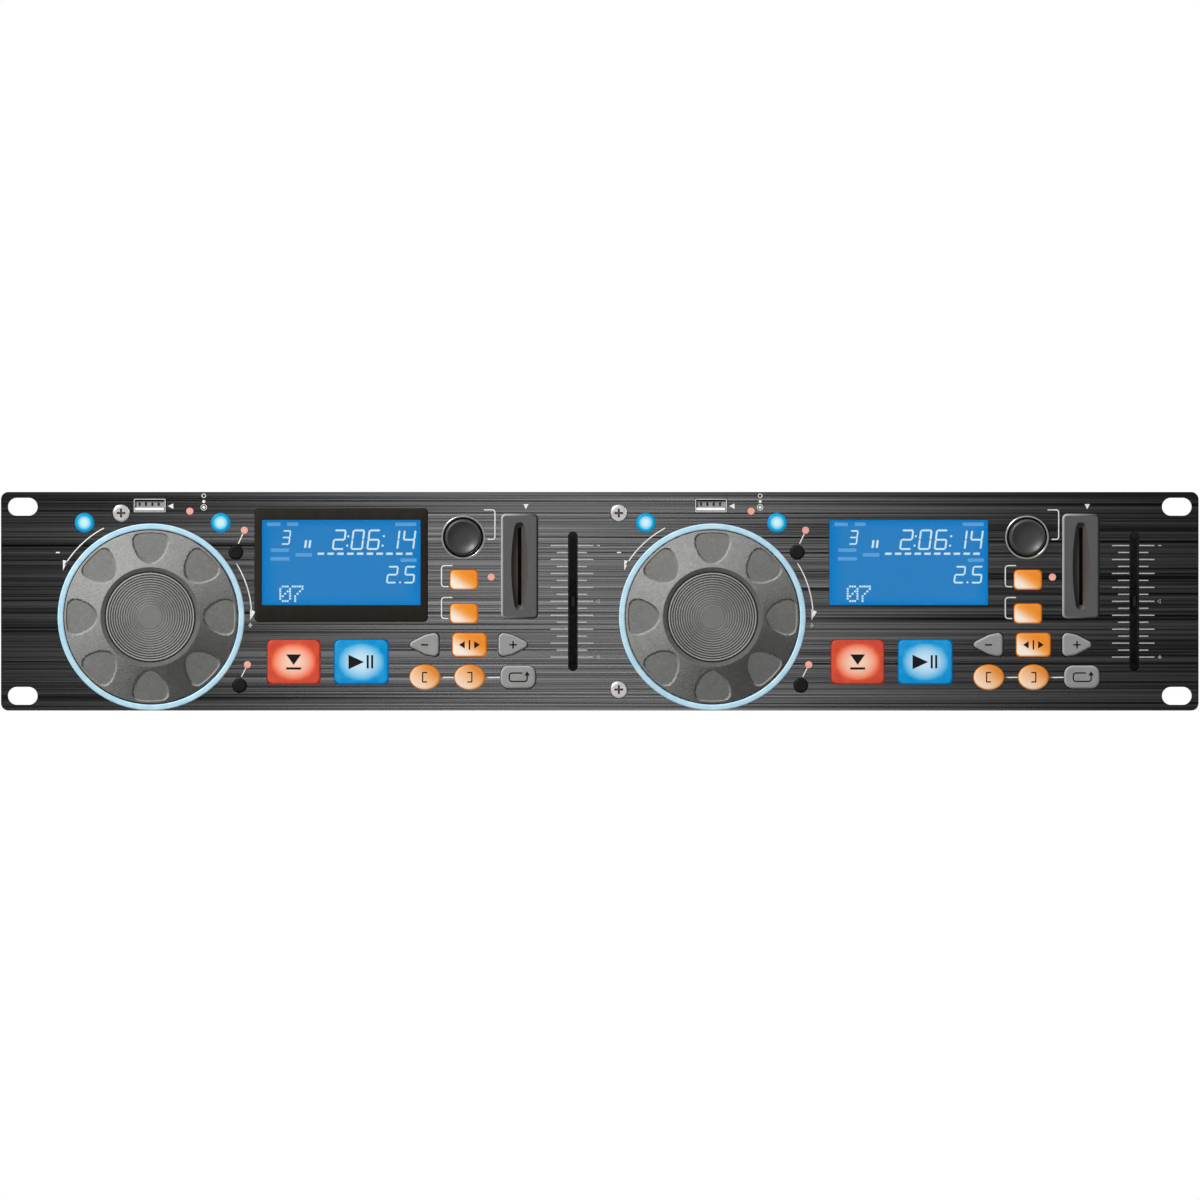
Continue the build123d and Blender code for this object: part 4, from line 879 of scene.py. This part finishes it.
def add_display(deck):
    """Window, the lit screen behind it and what the screen shows; the left one has a dark surround."""
    module, front = box("lcd_modules"), face
    offset = (module.width - VIEW[0]) / 2 - VIEW_MARGIN
    x, z = module.x + (-offset if deck == "left" else offset), module.z
    view = rounded(x, z, *VIEW, 0.5)
    if deck == "left":
        front = box("display_windows").front
        edge = rounded(x, z - WINDOW_DROP, *WINDOW)
        shape = Shape()
        shape.loft([shape.loop(*level) for level in (
            (view, 0.0), (edge, 0.0), (edge, front - 0.3), (inset(edge, 0.1), front - 0.08),
            (inset(edge, 0.3), front), (view, front), (view, 0.0))], False, False)
        shape.build("left_display_surround", "bezel_black", replaces="display_windows")
    pane = Shape()
    pane.block(inset(view, 0.02), front - PANE - PANE_SINK, front - PANE_SINK)
    pane.build(f"{deck}_display_pane", "window_clear", replaces="display_windows", slotted=False)
    screen = Shape()
    edge = inset(view, 0.05)
    loops = [screen.loop(edge, -0.08), screen.loop(edge, SCREEN_FRONT)]
    for share in (0.97, 0.9, 0.8, 0.6, 0.3, 0.05):
        loops.append(screen.loop(scaled(edge, share), SCREEN_FRONT, min(1.0, (1 - share) * 5)))
    screen.loft(loops)
    screen.build(f"{deck}_display_screen", "screen_blue")
    ink = Ink(SCREEN_FRONT, (x, z), sink=0.0)
    ink.patch(*display_figures())
    ink.finish = 1
    for along, rise, length in STATUS_BARS:
        ink.patch(oblong(along - length / 2, along + length / 2, rise - 0.7, rise + 0.7))
    ink.build(f"{deck}_display_figures", "screen_glyph screen_dim", smooth=False)


# ---------- legends and key signs

ARC_RADIUS = 40.55
TICKS = 17
TICK_PITCH = 2.809
TICK_WIDTH = 0.44
TICK_START = 1.98
TICK_REACH = ((8.95, 8.15), (6.5, 5.65))  # left and right, of long and short ticks
SIGN_X = 10.3
WHEEL_MARKS = ([(-35.5, 22.9), (-35.5, 18.7), (-33.6, 22.5)], [(39.9, 3.2), (39.9, -1.3), (42.1, 2.1)],
               oblong(-38.4, -36.8, 25.7, 26.2), oblong(39.1, 40.7, -3.65, -3.15), oblong(39.65, 40.15, -4.2, -2.6))
ARROWS = {"usb_sockets": [(7.3, -5.7), (9.5, -6.8), (9.5, -4.6)],  # from the fascia's upper edge
          "card_slot_bezels": [(2.55, -6.9), (3.6, -4.9), (1.5, -4.9)]}
PART_LINES = (  # part, how far the corners are rounded, and the line from the part's centre
    ("brake_button", 0, [(2.86, 7.54), (0.97, 3.5)]),
    ("reverse_button", 0, [(2.62, 7.17), (0.77, 3.47)]),
    ("search_knob", 1.1, [(8.34, 11.1), (12.77, 11.1), (12.77, -0.77), (9.95, -0.77)]),
    ("single_button", 1.3, [(-4.76, 5.7), (-9.07, 5.7), (-9.07, -2.8), (-6.31, -2.8)]),
    ("time_button", 1.3, [(-4.76, 6.45), (-9.07, 6.45), (-9.07, -2.0), (-6.31, -2.0)]),
)
MODE_X = -6.77  # the mode key's signs stand above it, to the left
SIGNS = {  # patches, then a line and how far its corners are rounded
    "play": ([[(-5.16, 2.85), (-5.16, -2.95), (1.1, -0.05)], oblong(2.15, 3.0, -2.6, 2.7),
              oblong(3.95, 4.8, -2.6, 2.7)],),
    "cue": ([[(-3.0, 3.0), (0.0, -1.2), (3.0, 3.0)], oblong(-3.0, 3.0, -3.1, -2.2)],),
    "minus": ([oblong(-1.45, 1.45, -0.3, 0.3)],),
    "plus": ([oblong(-1.5, 1.5, -0.28, 0.28), oblong(-0.28, 0.28, -1.5, 1.5)],),
    "pitch": ([[(-4.2, 0), (-1.9, -1.5), (-1.9, 1.5)], [(4.2, 0), (1.9, 1.5), (1.9, -1.5)],
               oblong(-0.3, 0.3, -1.9, 1.9)],),
    "loop_in": ([], [(0.9, 1.9), (-0.9, 1.9), (-0.9, -1.9), (0.9, -1.9)], 0.1),
    "loop_out": ([], [(-0.9, 1.9), (0.9, 1.9), (0.9, -1.9), (-0.9, -1.9)], 0.1),
    "reloop": ([[(3.6, 2.4), (2.5, 0.7), (4.7, 0.7)]],
               [(1.6, 1.7), (-3.6, 1.7), (-3.6, -1.7), (3.6, -1.7), (3.6, 0.9)], 1.2),
}


def add_legends(deck):
    """Printed lines, arrows, ticks and small signs of one deck."""
    ink = Ink(face, jog[deck])
    for start, end in ((118, 149), (32.4, 3.5)):
        ink.line(arc(0, 0, ARC_RADIUS, start, end))
    ink.patch(*WHEEL_MARKS)
    for part, arrow in ARROWS.items():
        ink.at = half_box(part, deck).x, top
        ink.patch(arrow)
    for part, bend, points in PART_LINES:
        ink.at = box(f"{deck}_{part}")[:2]
        ink.line(points, bend=bend)
    ink.at = box(f"{deck}_mode_button")[:2]
    ink.line(closed(circle(MODE_X, 10.84, 0.75, 20)), 0.28)
    ink.patch(circle(MODE_X, 8.5, 0.62, 20), circle(MODE_X, 6.17, 0.62, 20))
    ink.line(closed(circle(MODE_X, 6.17, 1.15, 24)), 0.22)
    loops = [cap_box(deck, name) for name in ("loop_in", "loop_out", "reloop")]
    for left, right in zip(loops, loops[1:]):
        ink.at = left.x, left.z - 0.1
        ink.line([(left.width / 2 + 0.3, 0), (right.x - left.x - right.width / 2 - 0.3, 0)], 0.48)
    ink.finish = 1
    x = box(f"{deck}_pitch_slider").x
    ink.at = x, 0
    limit = TICK_PITCH * (TICKS // 2)
    for k in range(TICKS):
        z = limit - TICK_PITCH * k
        low, high = z - TICK_WIDTH / 2, z + TICK_WIDTH / 2
        left, right = TICK_REACH[k % 2]
        ink.patch(oblong(-left, -TICK_START, low, high), oblong(TICK_START, right, low, high))
    ink.at = x + SIGN_X, 0
    ink.patch(oblong(-0.6, 0.6, limit - 0.2, limit + 0.2), oblong(-0.7, 0.7, -limit - 0.2, -limit + 0.2),
              oblong(-0.2, 0.2, -limit - 0.7, -limit + 0.7))
    ink.line([(-0.9, 0), (0.3, 0.75), (0.3, -0.75), (-0.9, 0)], 0.22)
    ink.build(f"{deck}_printed_lines", "white_ink line_ink", smooth=False)


def add_key_signs(deck):
    """Dark signs printed on the caps: plain figures in place of words."""
    for key, (patches, *run) in SIGNS.items():
        cap = cap_box(deck, key)
        ink = Ink(cap.front, cap[:2])
        ink.patch(*patches)
        if run:
            ink.line(run[0], 0.5, run[1])
        ink.build(f"{deck}_{key}_sign", "dark_ink", f"{deck}_{key}_button", smooth=False)


# ---------- sockets, slots and screws

USB_WALL = 0.42
USB_DEPTH = 8.0
USB_CONTACTS = 4
USB_CONTACT_PITCH = 2.55


def add_usb_socket(deck):
    """Pressed steel shell, the tongue in its upper half and four contacts."""
    x, z, width, height, front, back = half_box("usb_sockets", deck)
    outline = rounded(x, z, width, height, 0.5)
    wall = inset(outline, USB_WALL)
    shape = Shape()
    shape.loft([shape.loop(*level) for level in (
        (outline, back), (outline, front - 0.2), (inset(outline, 0.12), front), (wall, front),
        (wall, front - USB_DEPTH))], True, False)
    shape.finish = 1
    shape.cap(shape.loop(wall, front - USB_DEPTH))
    shape.build(f"{deck}_usb_shell", "plated_steel black_plastic", replaces="usb_sockets")
    contacts = [(x + (k - 1.5) * USB_CONTACT_PITCH - 0.25, z + 0.6, 0.72, 1.3, 0.1) for k in range(USB_CONTACTS)]
    for name, inner, outer, bars in (
            ("tongue", 7.9, 0.6, [(x, z + 0.55, width - 1.1, 2.5, 0.15)]),
            ("spring", 7.9, 0.5, [(x - 0.1, z - 1.4, width - 1.3, 1.15, 0.1)]),
            ("contacts", 0.62, 0.5, contacts)):
        shape = Shape()
        for place in bars:
            shape.block(rounded(*place), front - inner, front - outer)
        shape.build(f"{deck}_usb_{name}", f"socket_{name}", smooth=False)


SCOOP_MIDDLE = 3.4  # half width of the scoop at its middle
SCOOP_END = 1.75
SCOOP_HALF_HEIGHT = 17.7
SCOOP_DEPTH = 1.0
CARD_SLOT = (1.5, 31.2)
PLATE_TONE = 0.24
PLATE_ROUND = 0.75
BEZEL_POINTS = 96


def barrel(x, z, middle_half, end_half, half_height, count=24):
    """Upright outline with bowed sides and blunt ends, from its rightmost point on."""
    side = []
    for k in range(-count, count + 1):
        share = k / count
        half = end_half + (middle_half - end_half) * (1 - share**2)
        half *= 1 - 0.3 * smooth_step((abs(share) - 0.9) / 0.1)
        side.append((half, half_height * share))
    return moved(side[count:] + [(-px, pz) for px, pz in reversed(side)] + side[:count], x, z)


def add_card_bezel(deck):
    """Moulded surround with rolled edges, a bowed scoop and a dark card slot; its edges carry painted light and
    shade.
    """
    x, z, width, height, front, back = half_box("card_slot_bezels", deck)

    def painted_edge_light(px, pz):
        """Painted highlight on the left and upper edge, painted shade on the right."""
        return min(max(0.42 - 0.62 * (px - x) / (width / 2) + 0.1 * (pz - z) / (height / 2), 0.0), 1.0)

    plate = resampled([(x + width / 2, z)] + rounded(x, z, width, height, 1.8), BEZEL_POINTS)
    scoop = resampled(barrel(x, z, SCOOP_MIDDLE, SCOOP_END, SCOOP_HALF_HEIGHT), BEZEL_POINTS)
    slot = resampled([(x + CARD_SLOT[0] / 2, z)] + rounded(x, z, *CARD_SLOT, 0.3), BEZEL_POINTS)
    shape = Shape()
    base = front - PLATE_ROUND
    loops = [shape.loop(plate, face, painted_edge_light), shape.loop(plate, base, painted_edge_light)]
    for inwards, up in rolled_edge(5):
        loops.append(shape.loop(inset(plate, 0.7 * inwards), base + PLATE_ROUND * up, painted_edge_light))
    loops += [shape.loop(inset(plate, 0.95), front, PLATE_TONE), shape.loop(scoop, front, PLATE_TONE)]
    shape.loft(loops, False, False)
    shape.finish = 1
    inner = loops[-1:]
    for k in range(1, 7):
        outline = [between(start, end, k / 6) for start, end in zip(scoop, slot)]
        inner.append(shape.loop(outline, front - 0.15 - SCOOP_DEPTH * math.sin(math.pi / 2 * k / 6)))
    shape.loft(inner, False, False)
    shape.finish = 2
    shape.loft([inner[-1], shape.loop(slot, back)], False)
    shape.build(f"{deck}_card_surround", "card_slot_grey card_scoop deep_black", replaces="card_slot_bezels")


SCREW_HEAD = 3.6
SCREW_SHANK = 1.45
RECESS_DEPTH = 1.1


def cross(x, z, half_width, half_length, count=96):
    """Outline of a cross recess."""
    points = []
    for k in range(count):
        turn = 2 * math.pi * (k + 0.5) / count
        c, s = abs(math.cos(turn)), abs(math.sin(turn))
        radius = max(min(half_length / c, half_width / s), min(half_length / s, half_width / c))
        points.append((x + radius * math.cos(turn), z + radius * math.sin(turn)))
    return points


def add_panel_screws():
    """Three pan-head screws with cross recesses, coloured darker as a painted shade."""
    x, z, width, height, crown, tail = box("panel_screws")
    left, right = x - width / 2 + SCREW_HEAD, x + width / 2 - SCREW_HEAD
    lower, upper = z - height / 2 + SCREW_HEAD, z + height / 2 - SCREW_HEAD
    rise = crown - face
    profile = [(SCREW_SHANK, tail), (SCREW_SHANK, face), (SCREW_HEAD, face), (SCREW_HEAD, face + 0.35 * rise)]
    profile += [(SCREW_HEAD - 1.5 * inwards, face + rise * (0.35 + 0.65 * up)) for inwards, up in rolled_edge(5)]
    shape = Shape()
    for x, z in ((left, upper), (right, upper), (right, lower)):
        shape.finish = 0
        recess = shape.loop(cross(x, z, 0.42, 1.75), crown)
        shape.loft(shape.rings(x, z, profile) + [recess], True, False)
        shape.finish = 1
        shape.loft([recess, shape.loop(cross(x, z, 0.3, 1.3), crown - RECESS_DEPTH)], False)
    shape.build("fascia_screws", "screw_nickel screw_recess", replaces="panel_screws")


SLOT_HALF = 1.95
SLOT_REACH = 28.1


def add_slot_ends(deck):
    """Rounds the ends of the pitch slot."""
    x = box(f"{deck}_pitch_slider").x
    shape = Shape()
    for sx, sz in ((-1, -1), (-1, 1), (1, -1), (1, 1)):
        bend = arc(0, SLOT_REACH - SLOT_HALF, SLOT_HALF, 0, 90, 8)
        outline = [(x + sx * px, sz * pz) for px, pz in [(SLOT_HALF, SLOT_REACH)] + bend]
        shape.block(outline if sx * sz > 0 else outline[::-1], 0.3, face - 0.02)
    return shape.build(f"{deck}_slot_ends", "fascia_brushed", smooth=False)


def add_knob_trim(deck):
    """Thin bright ring round the knob's hole in the fascia."""
    shape = Shape()
    profile = [(8.08, -0.5), (8.08, 0.22), (8.2, 0.32), (8.6, 0.32), (8.75, 0.2), (8.75, -0.01)]
    x, z = box(f"{deck}_search_knob")[:2]
    shape.loft(closed(shape.rings(x, z, [(radius, face + rise) for radius, rise in profile])), False, False)
    shape.build(f"{deck}_knob_trim", "trim_ring")


# ---------- rear connectors

REAR_WALL = -110.0  # heights behind the fascia are negative
WALL_INSIDE = -108.9
JACK_ROWS = (-26.0, -12.0)
JACK_COLUMNS = (-120.0, -60.0)
START_COLUMNS = (-100.0, -40.0)
BLOCK_LOW = -32.3
BLADES = ((169.0, 4.0), (183.0, 4.0), (176.0, 8.0))
ROCKER_X = 148.5
FLANGE_FACE = -112.0


def add_rear_jacks():
    """Nickel barrels with coloured collars, start jacks and the blocks they stand on."""
    tip = box("rear_jacks").back
    shape = Shape()
    for x in JACK_COLUMNS:
        shape.finish = 0
        shape.block(oblong(x - 5.5, x + 5.5, BLOCK_LOW, -6.0), WALL_INSIDE, WALL_INSIDE + 10.0)
        for z, collar in zip(JACK_ROWS, (2, 3)):
            shape.finish = 1
            sleeve = shape.rings(x, z, [(4.15, WALL_INSIDE), (4.15, tip + 0.3), (3.9, tip), (3.4, tip),
                                        (3.35, tip + 0.9)], 64)
            shape.loft(sleeve, True, False)
            shape.finish = collar
            bore = shape.rings(x, z, [(1.75, tip + 0.9), (1.65, tip + 1.0), (1.65, WALL_INSIDE + 1.0)], 64)
            shape.loft(sleeve[-1:] + bore, False)
            ring = [(4.2, 0.0), (5.6, 0.0), (5.6, 0.75), (5.35, 1.0), (4.2, 1.0)]
            ring = shape.rings(x, z, [(radius, REAR_WALL - rise) for radius, rise in ring], 64)
            shape.loft(closed(ring), False, False)
    for x in START_COLUMNS:
        z = JACK_ROWS[0]
        shape.finish = 0
        shape.block(oblong(x - 4.0, x + 4.0, BLOCK_LOW, z + 4.0), WALL_INSIDE, WALL_INSIDE + 14.0)
        shape.finish = 1
        sleeve = shape.rings(x, z, [(3.0, WALL_INSIDE), (3.0, REAR_WALL - 1.3), (2.8, REAR_WALL - 1.5),
                                    (1.9, REAR_WALL - 1.5), (1.8, REAR_WALL - 1.4)], 48)
        shape.loft(sleeve, True, False)
        shape.finish = 0
        shape.loft(sleeve[-1:] + shape.rings(x, z, [(1.8, WALL_INSIDE + 12.0)], 48), False)
    shape.build("rear_jack_set", "black_plastic plated_steel jack_red jack_white", replaces="rear_jacks")


def add_rear_signs():
    """Blades of the inlet, and plain signs printed on the rear."""
    blades = Shape()
    for x, z in BLADES:
        blades.block(rounded(x, z, 2.1, 4.1, 0.3), -96.0, -110.45)
    blades.build("inlet_blades", "plated_steel", bevel=0.15)
    ink = Ink(REAR_WALL, (0, 0), -1)
    lower, upper = JACK_ROWS
    for value, jack_x, start_x in zip("12", JACK_COLUMNS, START_COLUMNS):
        ink.at = (jack_x + start_x) / 2, 0
        half = (start_x - jack_x) / 2
        for outline in digit(value, 0.0, 4.5, 2.8, 4.6, 0.6):
            ink.patch([(-px, pz) for px, pz in outline])  # turned round, to be read from behind
        ink.line([(-half - 8.0, -3.0), (-half - 8.0, 0.0), (half + 6.0, 0.0), (half + 6.0, -3.0)], bend=1.2)
        ink.patch(*(circle(-half - 8.6, z, 0.42, 20) for z in (lower - 0.65, lower + 0.65, upper)))
        ink.line([(half + 5.2, lower), (half + 7.6, lower)])
    ink.at = ROCKER_X, 0
    ink.span = FLANGE_FACE + INK_SINK, FLANGE_FACE - INK_LIFT
    ink.patch(oblong(-0.22, 0.22, 16.3, 18.1))
    ink.line(closed(circle(0, -5.2, 0.75, 24)), 0.35)
    ink.build("rear_printed_signs", "white_ink", smooth=False)


add_rear_jacks()
add_rear_signs()
unshading = [add(deck) for deck in DECKS for add in (add_jog_wheel, add_jog_disc, add_knob)]
slot_ends = [add_slot_ends(deck) for deck in DECKS]
for deck in DECKS:
    add_knob_trim(deck)
    caps = {key: add_key(deck, key) for key in KEYS}
    unshading += [caps["source"], caps["mode"]]
    for add in (add_key_signs, add_display, add_legends, add_usb_socket, add_card_bezel):
        add(deck)
add_panel_screws()


# ---------- camera, floor and light

VIEW_WIDTH = 483.56  # millimetres across the photograph at the fascia
VIEW_X = 0.08
VIEW_Z = 0.52
CAMERA_DISTANCE = 6000.0
SENSOR = 36.0
WHITE = (1, 1, 1, 1)
FLOOR_SIZE = 3.0  # metres from the middle to an edge
FLOOR_GLOW = 0.78  # share of white that the floor shows of itself, under its shadows
FLOOR_FADE = (0.35, 0.9)  # metres over which the floor turns into plain white


def add_camera():
    data = bpy.data.cameras.new("camera")
    data.sensor_width = SENSOR
    data.lens = SENSOR * CAMERA_DISTANCE / VIEW_WIDTH
    data.clip_end = 50.0
    camera = placed("camera", data)
    camera.location = Vector((VIEW_X, -CAMERA_DISTANCE - face, VIEW_Z)) * MM
    camera.rotation_euler = (math.pi / 2, 0, 0)
    bpy.context.scene.camera = camera


def add_light(name, place, width, height, power, sheen_only=False):
    """Soft light, in metres, that looks at the middle of the fascia."""
    data = bpy.data.lights.new(name, "AREA")
    data.shape = "RECTANGLE"
    data.size, data.size_y, data.energy = width, height, power
    lamp = placed(name, data)
    lamp.location = place
    lamp.rotation_euler = (-Vector(place)).to_track_quat("-Z", "Y").to_euler()
    lamp.visible_camera = False
    lamp.visible_diffuse = not sheen_only
    return lamp


def group(name, pieces, state):
    """Collection for a lamp's light linking."""
    made = bpy.data.collections.new(name)
    for piece in pieces:
        made.objects.link(piece)
    for link in made.collection_objects:
        link.light_linking.link_state = state
    return made


def add_world():
    """Soft surroundings that the camera, metal and glass see as white paper."""
    world = bpy.context.scene.world = bpy.data.worlds.new("studio")
    studio = Tree(world)
    dim = studio.node("Background", (0.96, 0.98, 1.0, 1), 0.05)
    seen = studio.node("MixShader", studio.seen_directly(), dim, studio.node("Background", WHITE, 1.0))
    studio.feed(studio.tree.nodes["World Output"].inputs["Surface"], seen)


def add_floor():
    """Pale floor at the feet; near-white, so that it runs into the backdrop."""
    finish = Finish("floor_paper")
    finish.set(Base_Color=finish.ramp(finish.noise(3.0), [(0.0, shade(WHITE, 0.15)), (1.0, shade(WHITE, 0.18))]),
               Roughness=0.9, Specular_IOR_Level=0.0)
    surface = finish.shader.outputs[0]
    lit = finish.node("AddShader", surface, finish.node("Emission", WHITE, FLOOR_GLOW))
    seen = finish.node("MixShader", finish.seen_directly(), surface, lit)
    reach = finish.node("VectorMath", finish.place, operation="LENGTH", out="Value")
    fade = finish.spread(reach, 0.0, 1.0, *FLOOR_FADE)
    paper = finish.node("MixShader", fade, seen, finish.node("Emission", WHITE, 1.0))
    finish.feed(finish.tree.nodes["Material Output"].inputs["Surface"], paper)
    mesh = bpy.data.meshes.new("floor")
    corners = oblong(-FLOOR_SIZE, FLOOR_SIZE, -FLOOR_SIZE, FLOOR_SIZE)
    mesh.from_pydata([(x, y, cad_box[0][2]) for x, y in corners], [], [(0, 1, 2, 3)])
    mesh.materials.append(finish.material)
    placed("floor", mesh)


add_camera()
add_world()
add_floor()
key = add_light("key", (-1.45, -0.92, 1.75), 0.5, 0.5, 116.0)
# Wheels, knobs and round keys cast no shadow of the key light, so that dimples, card slots and
# printed arcs stay open to it.
key.light_linking.blocker_collection = group("key_passes", unshading, "EXCLUDE")
front = add_light("front", (-0.025, -0.8, -0.055), 0.24, 0.3, 3.4, sheen_only=True)
front.light_linking.receiver_collection = group("front_lights", [nodes["front_panel"]] + slot_ends, "INCLUDE")
add_light("right", (1.5, 0.3, 0.6), 0.8, 0.8, 12.0)
add_light("back", (0.3, 1.6, 0.9), 0.8, 0.8, 16.0)
bpy.context.scene.view_settings.view_transform = "Standard"
